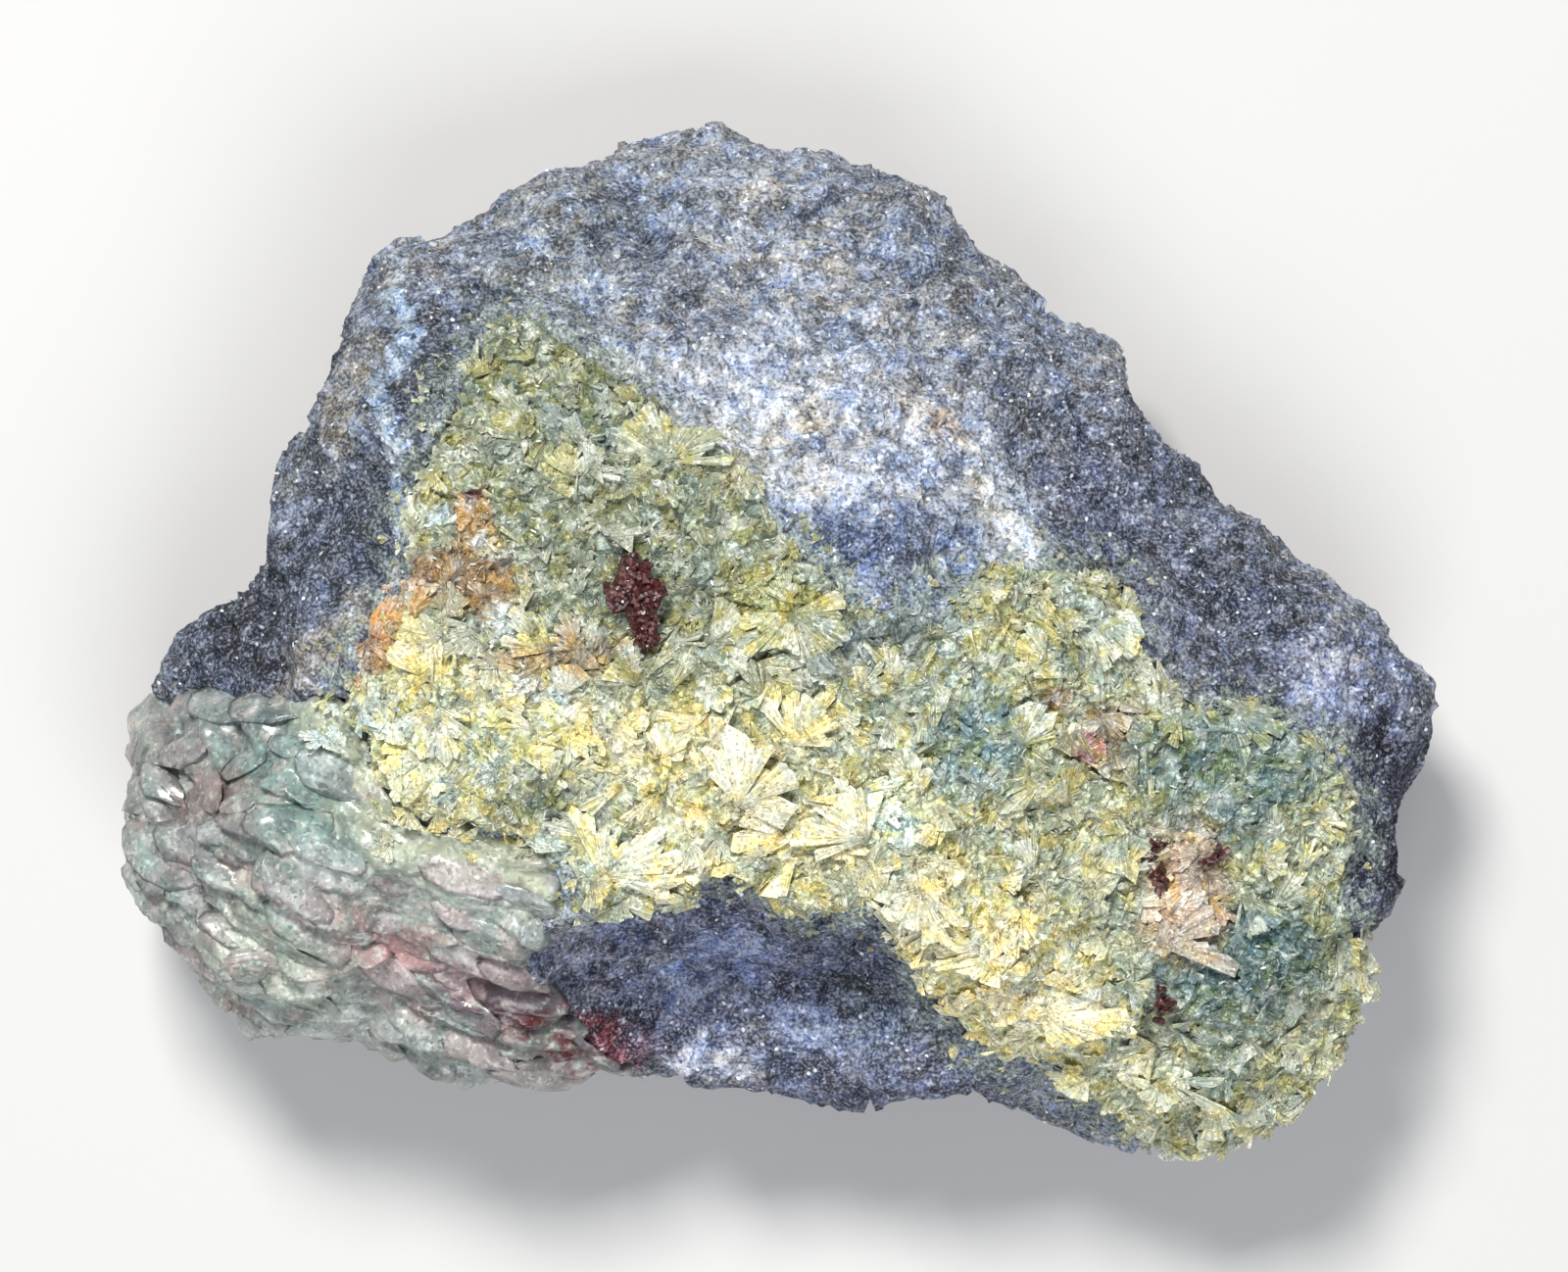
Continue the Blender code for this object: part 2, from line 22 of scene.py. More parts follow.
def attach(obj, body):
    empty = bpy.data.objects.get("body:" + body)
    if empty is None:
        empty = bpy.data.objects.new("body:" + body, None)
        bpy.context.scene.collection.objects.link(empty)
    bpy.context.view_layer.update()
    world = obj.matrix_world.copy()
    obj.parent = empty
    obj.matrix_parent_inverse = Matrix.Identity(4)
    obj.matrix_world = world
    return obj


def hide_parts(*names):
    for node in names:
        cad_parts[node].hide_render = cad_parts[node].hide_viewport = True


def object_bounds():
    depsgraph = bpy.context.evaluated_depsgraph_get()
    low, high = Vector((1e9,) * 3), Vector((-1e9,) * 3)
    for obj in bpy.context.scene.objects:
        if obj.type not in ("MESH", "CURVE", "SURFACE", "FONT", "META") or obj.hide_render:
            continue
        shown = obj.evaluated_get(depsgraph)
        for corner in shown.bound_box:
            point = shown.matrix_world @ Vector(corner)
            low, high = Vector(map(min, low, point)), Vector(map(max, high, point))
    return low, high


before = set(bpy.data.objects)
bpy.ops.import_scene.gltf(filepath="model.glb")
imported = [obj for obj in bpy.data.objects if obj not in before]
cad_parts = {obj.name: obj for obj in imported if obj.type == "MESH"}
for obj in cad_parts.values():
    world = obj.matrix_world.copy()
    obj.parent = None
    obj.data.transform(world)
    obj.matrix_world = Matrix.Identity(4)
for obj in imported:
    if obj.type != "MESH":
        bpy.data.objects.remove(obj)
cad_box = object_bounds()
MM = 0.001
print("nodes:", sorted(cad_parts))
print("size in mm:", [round(size / MM, 1) for size in cad_box[1] - cad_box[0]])

# %% [markdown]
# ## Camera, light and floor
#
# The photograph looks straight at the crystal side. The specimen lies on its back here, so the camera
# looks down on it, with the photograph's up along +Y. A long lens from over half a metre away gives
# the flat perspective of a close-up of a small stone. One large soft light from the top of the
# picture models the relief, because blades and ledges only show when light rakes across them. A
# weaker one fills from the other side.

# %% Camera
CAMERA_HEIGHT = 586 * MM
PHOTO_CENTRE = (0.09 * MM, 0.14 * MM)
LENS = 188.6

camera_data = bpy.data.cameras.new("camera")
camera_data.lens = LENS
camera_data.sensor_width = 36.0
camera_data.clip_start = 0.01
camera = bpy.data.objects.new("camera", camera_data)
camera.location = (*PHOTO_CENTRE, CAMERA_HEIGHT)
bpy.context.scene.collection.objects.link(camera)
bpy.context.scene.camera = camera
print("camera", round(CAMERA_HEIGHT / MM), "mm above the floor, lens", LENS, "mm")


# %% Lights and floor
def soft_light(name, azimuth, elevation, distance, size, power, colour):
    """A square area light that points at the specimen from a compass azimuth and an elevation."""
    data = bpy.data.lights.new(name, "AREA")
    data.size = size
    data.energy = power
    data.color = colour
    light = bpy.data.objects.new(name, data)
    turn, rise = math.radians(azimuth), math.radians(elevation)
    out = Vector((math.cos(turn) * math.cos(rise), math.sin(turn) * math.cos(rise), math.sin(rise)))
    light.location = out * distance
    light.rotation_euler = out.to_track_quat("Z", "Y").to_euler()
    bpy.context.scene.collection.objects.link(light)
    return light


soft_light("key_light", 112, 60, 0.75, 0.18, 5.2, (1.0, 0.99, 0.97))
soft_light("fill_light", 280, 56, 0.85, 0.50, 3.6, (0.95, 0.97, 1.0))

floor_mesh = bmesh.new()
bmesh.ops.create_grid(floor_mesh, x_segments=1, y_segments=1, size=2.0)
floor_data = bpy.data.meshes.new("floor")
floor_mesh.to_mesh(floor_data)
floor_mesh.free()
floor = bpy.data.objects.new("floor", floor_data)
bpy.context.scene.collection.objects.link(floor)

world = bpy.data.worlds.new("studio")
bpy.context.scene.world = world
world.use_nodes = True
world.node_tree.nodes["Background"].inputs["Color"].default_value = (0.80, 0.86, 1.0, 1.0)
world.node_tree.nodes["Background"].inputs["Strength"].default_value = 0.20
bpy.context.scene.view_settings.view_transform = "Standard"
print("lights:", [light.name for light in bpy.data.lights])


# %% [markdown]
# ## Small helpers for shader nodes
#
# A material is a graph of nodes. Writing each link by hand hides what the graph does, so two short
# functions do the wiring: one adds a node and fills its sockets, where a socket may be given a value
# or another node's output, and one opens a node group with named sockets.

# %% Node helpers
def fill_socket(tree, socket, value):
    if isinstance(value, bpy.types.NodeSocket):
        tree.links.new(value, socket)
    elif socket.type == "RGBA" and len(value) == 3:
        socket.default_value = (*value, 1.0)
    else:
        socket.default_value = value


def add_node(tree, kind, inputs=None, **settings):
    """Adds a node, with its settings and the values or links of its input sockets."""
    made = tree.nodes.new("ShaderNode" + kind)
    for name, value in settings.items():
        setattr(made, name, value)
    for key, value in (inputs or {}).items():
        fill_socket(tree, made.inputs[key], value)
    return made


def math_node(tree, operation, first, second=0.0):
    return add_node(tree, "Math", {0: first, 1: second}, operation=operation).outputs[0]


def vector_node(tree, operation, first, second=(0.0, 0.0, 0.0)):
    return add_node(tree, "VectorMath", {0: first, 1: second}, operation=operation).outputs["Vector"]


def scaled_vector(tree, vector, factor):
    made = add_node(tree, "VectorMath", {0: vector, "Scale": factor}, operation="SCALE")
    return made.outputs["Vector"]


def mix_colours(tree, share, first, second, blend="MIX"):
    made = add_node(tree, "Mix", {"Factor": share, 6: first, 7: second}, data_type="RGBA", blend_type=blend)
    return made.outputs[2]


def ramp_between(tree, value, low, high, to_low=0.0, to_high=1.0):
    """A smooth step of a value, from to_low at low to to_high at high."""
    made = add_node(tree, "MapRange", {"Value": value}, interpolation_type="SMOOTHSTEP")
    made.inputs["From Min"].default_value = low
    made.inputs["From Max"].default_value = high
    made.inputs["To Min"].default_value = to_low
    made.inputs["To Max"].default_value = to_high
    return made.outputs["Result"]


def new_group(name, sockets_in, sockets_out):
    """A node group with its input and output nodes: sockets are (name, kind, value)."""
    tree = bpy.data.node_groups.new(name, "ShaderNodeTree")
    for title, kind, value in sockets_in:
        socket = tree.interface.new_socket(title, in_out="INPUT", socket_type="NodeSocket" + kind)
        if value is not None:
            socket.default_value = value
    for title, kind in sockets_out:
        tree.interface.new_socket(title, in_out="OUTPUT", socket_type="NodeSocket" + kind)
    start = tree.nodes.new("NodeGroupInput")
    end = tree.nodes.new("NodeGroupOutput")
    return tree, start.outputs, end.inputs


def use_group(tree, group, inputs=None):
    made = tree.nodes.new("ShaderNodeGroup")
    made.node_tree = group
    for key, value in (inputs or {}).items():
        fill_socket(tree, made.inputs[key], value)
    return made.outputs


def attribute(tree, name, output="Fac"):
    return add_node(tree, "Attribute", attribute_name=name).outputs[output]


def new_material(name):
    """A material with a Principled BSDF: its tree and the shader's sockets."""
    material = bpy.data.materials.new(name)
    material.use_nodes = True
    return material, material.node_tree, material.node_tree.nodes["Principled BSDF"].inputs


print("node helpers ready")


# %% [markdown]
# ## Mineral patches
#
# The colours of the specimen are mostly patches of different minerals and stains, and each patch has a place
# on the stone. They could be painted, but a painted picture is fixed to one resolution. Here each
# patch is an ellipse with a soft rim, measured in millimetres, and all patches read one place vector
# that two layers of noise have pushed about. The ellipses then get the ragged outlines that real
# mineral boundaries have. A few rock patches are painted shade and painted highlight, not minerals:
# the dark facets that face away from the light, a groove, a shadow and a lit ledge lip at the top, a
# shadow beside the pale lump, and the hollow with the shade under the crust's overhang.

# %% Wandering place
def make_wandering_place():
    """Coordinates in millimetres, straight and pushed about by coarse and fine noise."""
    tree, given, out = new_group(
        "wandering_place",
        [("Vector", "Vector", None), ("Coarse", "Float", 2.4), ("Fine", "Float", 0.9)],
        [("Place", "Vector"), ("Straight", "Vector")],
    )
    straight = scaled_vector(tree, given["Vector"], 1 / MM)
    place = straight
    for name, scale, detail in (("Coarse", 0.16, 1.0), ("Fine", 0.9, 2.0)):
        push = add_node(tree, "TexNoise", {"Vector": straight, "Scale": scale, "Detail": detail})
        centred = vector_node(tree, "SUBTRACT", push.outputs["Color"], (0.5, 0.5, 0.5))
        doubled = scaled_vector(tree, centred, 2.0)
        place = vector_node(tree, "ADD", place, scaled_vector(tree, doubled, given[name]))
    tree.links.new(place, out["Place"])
    tree.links.new(straight, out["Straight"])
    return tree


wandering_place = make_wandering_place()


# %% Patch groups
def make_patch_group(name, base, patches):
    """Colour at a place in millimetres: (x, y, radius x, radius y, turn, softness, strength, colour)."""
    tree, given, out = new_group(name, [("Place", "Vector", None)], [("Color", "Color")])
    colour = add_node(tree, "RGB").outputs[0]
    colour.default_value = (*base, 1.0)
    for x, y, across, along, turn, softness, strength, tint in patches:
        mapping = add_node(tree, "Mapping", {"Vector": given["Place"]}, vector_type="TEXTURE")
        mapping.inputs["Location"].default_value = (x, y, 0.0)
        mapping.inputs["Rotation"].default_value = (0.0, 0.0, math.radians(turn))
        mapping.inputs["Scale"].default_value = (across, along, 1000.0)
        length = add_node(tree, "VectorMath", {0: mapping.outputs[0]}, operation="LENGTH").outputs["Value"]
        mask = ramp_between(tree, length, 1 - softness, 1 + softness, strength, 0.0)
        colour = mix_colours(tree, mask, colour, tint)
    tree.links.new(colour, out["Color"])
    return tree


ROCK_BASE = (0.235, 0.26, 0.30)
ROCK_SIDES = (0.20, 0.22, 0.26)
ROCK_PATCHES = [
    (4.0, 13.0, 14.0, 6.0, -14, 0.5, 0.92, (0.60, 0.65, 0.74)),
    (-5.8, 17.4, 4.6, 2.2, -25, 0.3, 0.8, (0.66, 0.70, 0.78)),
    (-0.4, 12.9, 3.8, 2.6, -38, 0.3, 0.8, (0.71, 0.76, 0.84)),
    (9.4, 11.4, 6.2, 2.7, -4, 0.3, 0.8, (0.67, 0.72, 0.82)),
    (15.0, 9.4, 3.2, 5.2, -8, 0.4, 0.95, (0.90, 0.98, 1.0)),
    # Painted shadow along the right side of the pale lump.
    (19.6, 9.0, 1.8, 5.0, 8, 0.5, 0.6, (0.16, 0.165, 0.20)),
    (17.4, 6.6, 0.9, 1.3, 0, 0.3, 0.7, (0.50, 0.55, 0.58)),
    (-11.6, 23.2, 4.6, 1.7, -38, 0.4, 0.75, (0.60, 0.67, 0.76)),
    (2.5, 26.0, 9.5, 5.0, -30, 0.5, 0.5, (0.38, 0.42, 0.48)),
    (6.8, 5.2, 7.6, 3.4, -6, 0.4, 0.85, (0.085, 0.12, 0.21)),
    (9.5, 4.4, 0.9, 0.8, 0, 0.3, 0.8, (0.42, 0.54, 0.52)),
    (10.5, 3.0, 2.4, 1.6, 0, 0.3, 0.6, (0.10, 0.17, 0.25)),
    (-13.9, 25.8, 9.0, 6.0, 20, 0.4, 0.7, (0.16, 0.19, 0.21)),
    (10.6, 27.0, 6.0, 5.2, -30, 0.4, 0.65, (0.17, 0.19, 0.22)),
    (-7.6, 24.6, 2.2, 3.4, 35, 0.4, 0.7, (0.11, 0.13, 0.17)),
    # Painted shade in a groove.
    (-11.2, 25.9, 0.8, 2.6, 25, 0.5, 0.8, (0.05, 0.06, 0.09)),
    # Painted shadow above a ledge, then the ledge's lit lip painted pale below it.
    (4.0, 25.0, 2.0, 1.0, -30, 0.4, 0.7, (0.20, 0.19, 0.17)),
    (4.4, 23.2, 2.6, 0.6, -20, 0.5, 0.8, (0.70, 0.71, 0.75)),
    # Painted shade: the right diagonal facet, turned away from the light, is painted near black over the rock's dark
    # blue.
    (27.0, 5.5, 18.0, 6.8, -42, 0.35, 0.88, (0.056, 0.062, 0.092)),
    (24.5, 12.0, 14.0, 2.6, -42, 0.5, 0.7, (0.10, 0.115, 0.15)),
    (39.0, -3.6, 4.4, 2.8, -30, 0.4, 0.8, (0.36, 0.41, 0.60)),
    # Painted shade: the far right end, where the surface turns away from the light, is painted black.
    (41.0, -12.5, 4.0, 9.5, -8, 0.4, 1.0, (0.0, 0.0, 0.012)),
    # Painted shade: the left facet, turned away from the light, is painted near black over the rock's dark blue.
    (-32.0, 8.5, 8.0, 18.5, -32, 0.3, 0.94, (0.022, 0.030, 0.048)),
    (-23.2, 12.4, 1.3, 2.2, 0, 0.4, 0.8, (0.03, 0.04, 0.04)),
    (-31.0, 15.5, 4.0, 8.0, -30, 0.4, 0.6, (0.105, 0.125, 0.14)),
    (-29.5, 16.5, 1.8, 4.5, -24, 0.5, 0.6, (0.38, 0.35, 0.27)),
    (-26.0, 15.5, 0.7, 10.0, 2, 0.5, 0.9, (0.42, 0.55, 0.68)),
    (-30.2, 0.2, 6.0, 1.4, 38, 0.4, 0.75, (0.36, 0.32, 0.26)),
    (1.0, 14.5, 1.1, 1.0, 0, 0.4, 0.8, (0.66, 0.60, 0.44)),
    (5.6, 17.9, 0.9, 0.8, 0, 0.4, 0.8, (0.62, 0.58, 0.46)),
    (11.9, 14.6, 1.6, 0.9, -20, 0.4, 0.8, (0.42, 0.30, 0.17)),
    (-1.3, 30.2, 1.3, 1.0, 0, 0.4, 0.7, (0.55, 0.50, 0.42)),
    # The hollow: its own dark blue, made darker still as painted shade because it faces down away from the light.
    (2.0, -25.0, 20.0, 8.5, -6, 0.25, 0.9, (0.065, 0.07, 0.125)),
    (-15.8, -16.4, 4.0, 3.0, 0, 0.3, 0.95, (0.50, 0.54, 0.44)),
    (-19.0, -12.8, 4.0, 1.4, -10, 0.4, 0.9, (0.10, 0.12, 0.09)),
    (-12.8, -20.4, 4.5, 2.6, 0, 0.5, 0.6, (0.20, 0.21, 0.31)),
    (-4.4, -22.6, 4.0, 2.8, 20, 0.5, 0.6, (0.22, 0.28, 0.50)),
    # Painted shade at the top of the hollow, under the crust's overhang.
    (4.6, -20.6, 3.4, 3.6, 0, 0.5, 0.6, (0.035, 0.042, 0.07)),
    (2.0, -27.2, 4.5, 1.8, -10, 0.5, 0.5, (0.20, 0.25, 0.38)),
    (7.0, -25.6, 3.2, 2.6, 0, 0.5, 0.6, (0.045, 0.07, 0.075)),
    (12.2, -22.6, 1.3, 5.4, 38, 0.5, 0.6, (0.24, 0.23, 0.25)),
    (13.2, -25.9, 3.5, 3.0, 0, 0.5, 0.6, (0.09, 0.11, 0.09)),
    (-5.0, -29.6, 2.8, 1.3, -12, 0.3, 0.9, (0.72, 0.74, 0.86)),
    (-13.2, -28.2, 5.0, 1.6, -8, 0.4, 1.0, (0.13, 0.010, 0.014)),
    (-7.2, -20.0, 4.6, 1.8, 0, 0.5, 0.6, (0.20, 0.21, 0.31)),
    # Painted shade: two more near-black patches, on the left facet and on the right diagonal facet.
    (-36.3, 0.4, 3.2, 3.4, 0, 0.4, 0.7, (0.012, 0.014, 0.024)),
    (30.8, 1.8, 6.0, 3.6, -42, 0.4, 0.6, (0.020, 0.022, 0.032)),
    (21.9, 9.4, 4.6, 3.0, -42, 0.5, 0.4, (0.13, 0.15, 0.24)),
]
rock_patches = make_patch_group("rock_patches", ROCK_BASE, ROCK_PATCHES)

CRUST_BASE = (0.49, 0.49, 0.31)
CRUST_PATCHES = [
    (-16.6, 17.5, 5.5, 6.5, 20, 0.4, 0.85, (0.26, 0.285, 0.18)),
    (-9.9, 6.5, 13.0, 7.5, -10, 0.5, 0.8, (0.255, 0.28, 0.185)),
    (-0.6, 2.4, 2.8, 2.6, -20, 0.3, 0.85, (0.46, 0.43, 0.14)),
    (-12.8, 14.2, 3.8, 1.6, -10, 0.4, 0.6, (0.28, 0.34, 0.31)),
    (-14.9, 10.8, 1.3, 1.9, 0, 0.3, 0.8, (0.50, 0.47, 0.20)),
    (-3.1, 11.1, 1.3, 1.4, 0, 0.3, 0.85, (0.64, 0.58, 0.38)),
    (6.6, 0.3, 5.5, 3.0, 0, 0.4, 0.85, (0.20, 0.24, 0.24)),
    (-21.0, 7.4, 1.3, 2.6, 14, 0.4, 0.85, (0.52, 0.29, 0.11)),
    (-21.6, 4.0, 3.8, 2.3, -10, 0.4, 0.85, (0.40, 0.22, 0.10)),
    (-26.3, 2.4, 2.5, 2.0, 25, 0.4, 0.85, (0.50, 0.31, 0.19)),
    (-28.2, -0.9, 1.9, 1.2, 25, 0.4, 0.85, (0.50, 0.24, 0.11)),
    (-20.4, 5.6, 0.9, 1.0, 0, 0.3, 0.85, (0.80, 0.74, 0.66)),
    (-14.8, -1.8, 4.4, 1.1, 12, 0.5, 0.7, (0.40, 0.24, 0.14)),
    (-24.2, -2.6, 3.4, 2.4, 0, 0.3, 0.8, (0.76, 0.66, 0.32)),
    (-18.4, 1.2, 1.4, 1.3, 0, 0.3, 0.9, (0.88, 0.88, 0.82)),
    (-22.9, 8.4, 0.9, 0.8, 0, 0.3, 0.8, (0.80, 0.82, 0.76)),
    (-21.2, 9.7, 0.5, 0.5, 0, 0.3, 0.9, (0.16, 0.02, 0.02)),
    (-19.0, -5.5, 6.5, 1.8, 8, 0.4, 0.75, (0.92, 0.90, 0.82)),
    (-29.5, -6.0, 3.5, 2.6, 10, 0.4, 0.8, (0.70, 0.80, 0.76)),
    (-7.0, -11.0, 17.0, 6.0, -4, 0.35, 0.85, (0.82, 0.73, 0.42)),
    (-21.0, -7.5, 7.0, 3.0, -8, 0.4, 0.7, (0.64, 0.65, 0.42)),
    (-15.5, -10.8, 4.4, 1.5, 4, 0.4, 0.85, (0.15, 0.19, 0.13)),
    (14.0, -22.5, 8.5, 6.0, -38, 0.3, 0.9, (0.90, 0.80, 0.47)),
    (12.6, -6.9, 2.9, 3.8, 0, 0.4, 0.8, (0.20, 0.32, 0.34)),
    (7.6, -12.0, 2.0, 2.6, 0, 0.4, 0.85, (0.74, 0.84, 0.74)),
    (21.8, 1.0, 3.2, 3.4, 0, 0.4, 0.7, (0.37, 0.40, 0.30)),
    (22.0, -6.8, 2.2, 2.4, 0, 0.4, 0.8, (0.27, 0.18, 0.10)),
    (20.2, -8.1, 0.7, 0.6, 0, 0.3, 0.7, (0.30, 0.07, 0.12)),
    (18.4, -3.7, 0.9, 0.8, 0, 0.4, 0.8, (0.34, 0.18, 0.08)),
    (30.8, -9.5, 7.0, 4.2, -12, 0.35, 0.9, (0.15, 0.24, 0.225)),
    (31.0, -22.5, 6.5, 4.6, 20, 0.35, 0.9, (0.11, 0.20, 0.20)),
    (36.3, -14.2, 3.0, 3.6, 0, 0.4, 0.8, (0.54, 0.53, 0.33)),
    (27.2, -17.0, 3.4, 5.4, -8, 0.35, 0.8, (0.60, 0.40, 0.28)),
    (24.0, -11.5, 3.5, 2.5, 0, 0.4, 0.5, (0.42, 0.42, 0.26)),
    (24.5, -30.5, 5.0, 2.8, -20, 0.4, 0.85, (0.72, 0.69, 0.43)),
    (-20.5, -9.8, 3.6, 1.0, 0, 0.4, 0.6, (0.62, 0.66, 0.60)),
    (-13.0, -13.6, 3.6, 3.0, 0, 0.4, 0.55, (0.50, 0.57, 0.48)),
    (29.5, -29.0, 2.5, 2.0, 0, 0.4, 0.6, (0.30, 0.36, 0.26)),
]
crust_patches = make_patch_group("crust_patches", CRUST_BASE, CRUST_PATCHES)

SCALY_BASE = (0.38, 0.41, 0.37)
SCALY_PATCHES = [
    (-33.8, -7.6, 4.6, 3.0, -10, 0.5, 0.8, (0.17, 0.27, 0.26)),
    (-38.5, -5.5, 5.0, 3.0, -20, 0.5, 0.8, (0.17, 0.21, 0.21)),
    (-28.8, -9.0, 3.4, 2.2, 0, 0.4, 0.8, (0.74, 0.78, 0.70)),
    (-30.0, -12.4, 5.4, 2.8, -14, 0.5, 0.8, (0.24, 0.38, 0.35)),
    (-22.0, -14.5, 5.0, 1.6, -10, 0.5, 0.7, (0.60, 0.64, 0.52)),
    (-24.0, -22.0, 6.0, 1.9, -14, 0.5, 0.85, (0.52, 0.29, 0.28)),
    (-31.0, -18.5, 5.5, 1.0, -18, 0.5, 0.6, (0.50, 0.32, 0.30)),
    (-40.5, -13.0, 4.5, 9.0, 10, 0.5, 0.7, (0.24, 0.25, 0.24)),
    (-39.9, -11.0, 3.0, 2.0, 0, 0.5, 0.6, (0.30, 0.19, 0.18)),
    (-35.8, -21.5, 6.5, 3.4, -30, 0.4, 0.8, (0.53, 0.57, 0.47)),
    (-41.0, -16.0, 3.2, 3.4, 20, 0.4, 0.7, (0.34, 0.34, 0.34)),
    (-20.0, -18.6, 4.0, 1.4, -12, 0.5, 0.6, (0.38, 0.42, 0.40)),
    (-18.0, -26.0, 7.5, 2.8, -10, 0.4, 0.9, (0.14, 0.06, 0.09)),
    (-14.5, -28.0, 5.5, 1.8, -8, 0.4, 1.0, (0.12, 0.010, 0.014)),
    (-18.2, -12.2, 2.4, 0.6, 6, 0.4, 0.8, (0.10, 0.13, 0.09)),
    (-22.6, -13.6, 1.6, 0.35, 16, 0.4, 0.8, (0.34, 0.07, 0.07)),
]
scaly_patches = make_patch_group("scaly_patches", SCALY_BASE, SCALY_PATCHES)
print("patches:", len(ROCK_PATCHES), len(CRUST_PATCHES), len(SCALY_PATCHES))


# %% [markdown]
# ## Sugary grain
#
# The rock is a mass of interlocked grains a fraction of a millimetre across, and each grain has its
# own colour and its own flat faces, so some flash and some stay dark. A Voronoi texture gives exactly
# that: cells with a random colour each. The group turns that colour into a tint, a gloss mask and a
# tilted normal, and more than one material uses it with its own values. The light grains are partly
# white grains and partly painted glints, lifted far above the colour around them.

# %% Grain group
def make_grain_group():
    tree, given, out = new_group(
        "sugary_grain",
        [
            ("Place", "Vector", None),
            ("Color", "Color", (0.5, 0.5, 0.5, 1.0)),
            ("Light", "Color", (0.9, 0.9, 0.95, 1.0)),
            ("Dark", "Color", (0.03, 0.03, 0.05, 1.0)),
            ("Size", "Float", 0.42),
            ("Light Share", "Float", 0.2),
            ("Dark Share", "Float", 0.2),
            ("Strength", "Float", 0.5),
            ("Contrast", "Float", 0.5),
            ("Tilt", "Float", 0.5),
        ],
        [("Color", "Color"), ("Gloss", "Float"), ("Normal", "Vector")],
    )
    scale = math_node(tree, "DIVIDE", 1.0, given["Size"])
    wobble = add_node(tree, "TexNoise", {"Vector": given["Place"], "Scale": 2.2, "Detail": 0.0})
    nudge = scaled_vector(tree, vector_node(tree, "SUBTRACT", wobble.outputs["Color"], (0.5, 0.5, 0.5)), 0.22)
    place = vector_node(tree, "ADD", given["Place"], nudge)
    cells = add_node(tree, "TexVoronoi", {"Vector": place, "Scale": scale, "Randomness": 1.0})
    split = add_node(tree, "SeparateColor", {0: cells.outputs["Color"]})
    pick, shade = split.outputs[0], split.outputs[1]

    dimmer = math_node(tree, "SUBTRACT", 1.0, math_node(tree, "MULTIPLY", given["Contrast"], 0.5))
    swing = math_node(tree, "MULTIPLY", shade, given["Contrast"])
    value = math_node(tree, "ADD", dimmer, swing)
    toned = mix_colours(tree, 1.0, given["Color"], value, "MULTIPLY")
    is_light = math_node(tree, "LESS_THAN", pick, given["Light Share"])
    is_dark = math_node(tree, "GREATER_THAN", pick, math_node(tree, "SUBTRACT", 1.0, given["Dark Share"]))
    # Painted glints: light grains go to nearly twice their colour plus a share of the Light colour, partly white grains
    # and partly painted highlight.
    bright = mix_colours(tree, 0.24, mix_colours(tree, 1.0, toned, (1.9, 1.9, 1.9), "MULTIPLY"), given["Light"])
    dull = mix_colours(tree, 0.2, mix_colours(tree, 1.0, toned, (0.35, 0.35, 0.38), "MULTIPLY"), given["Dark"])
    toned = mix_colours(tree, math_node(tree, "MULTIPLY", is_light, given["Strength"]), toned, bright)
    toned = mix_colours(tree, math_node(tree, "MULTIPLY", is_dark, given["Strength"]), toned, dull)
    glossy = math_node(tree, "LESS_THAN", pick, math_node(tree, "MULTIPLY", given["Light Share"], 0.4))

    tilted = vector_node(tree, "SUBTRACT", cells.outputs["Color"], (0.5, 0.5, 0.5))
    tilted = scaled_vector(tree, tilted, given["Tilt"])
    normal = add_node(tree, "NewGeometry").outputs["Normal"]
    normal = vector_node(tree, "NORMALIZE", vector_node(tree, "ADD", normal, tilted))
    tree.links.new(toned, out["Color"])
    tree.links.new(glossy, out["Gloss"])
    tree.links.new(normal, out["Normal"])
    return tree


sugary_grain = make_grain_group()

# %% [markdown]
# ## The finishes
#
# Rock: matte, with white, blue and dark grains, clouded in beige, blue and teal. Crust: pearly, in
# the patch colours, with finer grains between the blades. Scaly mass: pearly and smoother. Rutile:
# nearly black red with a bright lustre. Each material keeps its own shader and takes its colours from
# the shared groups.


# %% Rock material
ROCK_CLOUDS = [
    (0.26, 2.0, (1.15, 1.02, 0.82), (0.78, 0.90, 1.14), 0.58, 1.18),
    (0.80, 2.0, (1.16, 1.04, 0.82), (0.62, 0.75, 1.04), 0.42, 1.30),
]
CLOUD_LIFT = (0.035, 0.04, 0.055)
SPECK_LIFT = (0.12, 0.13, 0.165)


def lifted(tree, base, colour, share):
    """Adds light to a colour, and less where it is nearly black."""
    depth = add_node(tree, "SeparateXYZ", {0: base}).outputs["Z"]
    share = math_node(tree, "MULTIPLY", share, ramp_between(tree, depth, 0.0, 0.06, 0.45, 1.0))
    made = add_node(tree, "VectorMath", {0: colour, 1: share, 2: base}, operation="MULTIPLY_ADD")
    return made.outputs["Vector"]


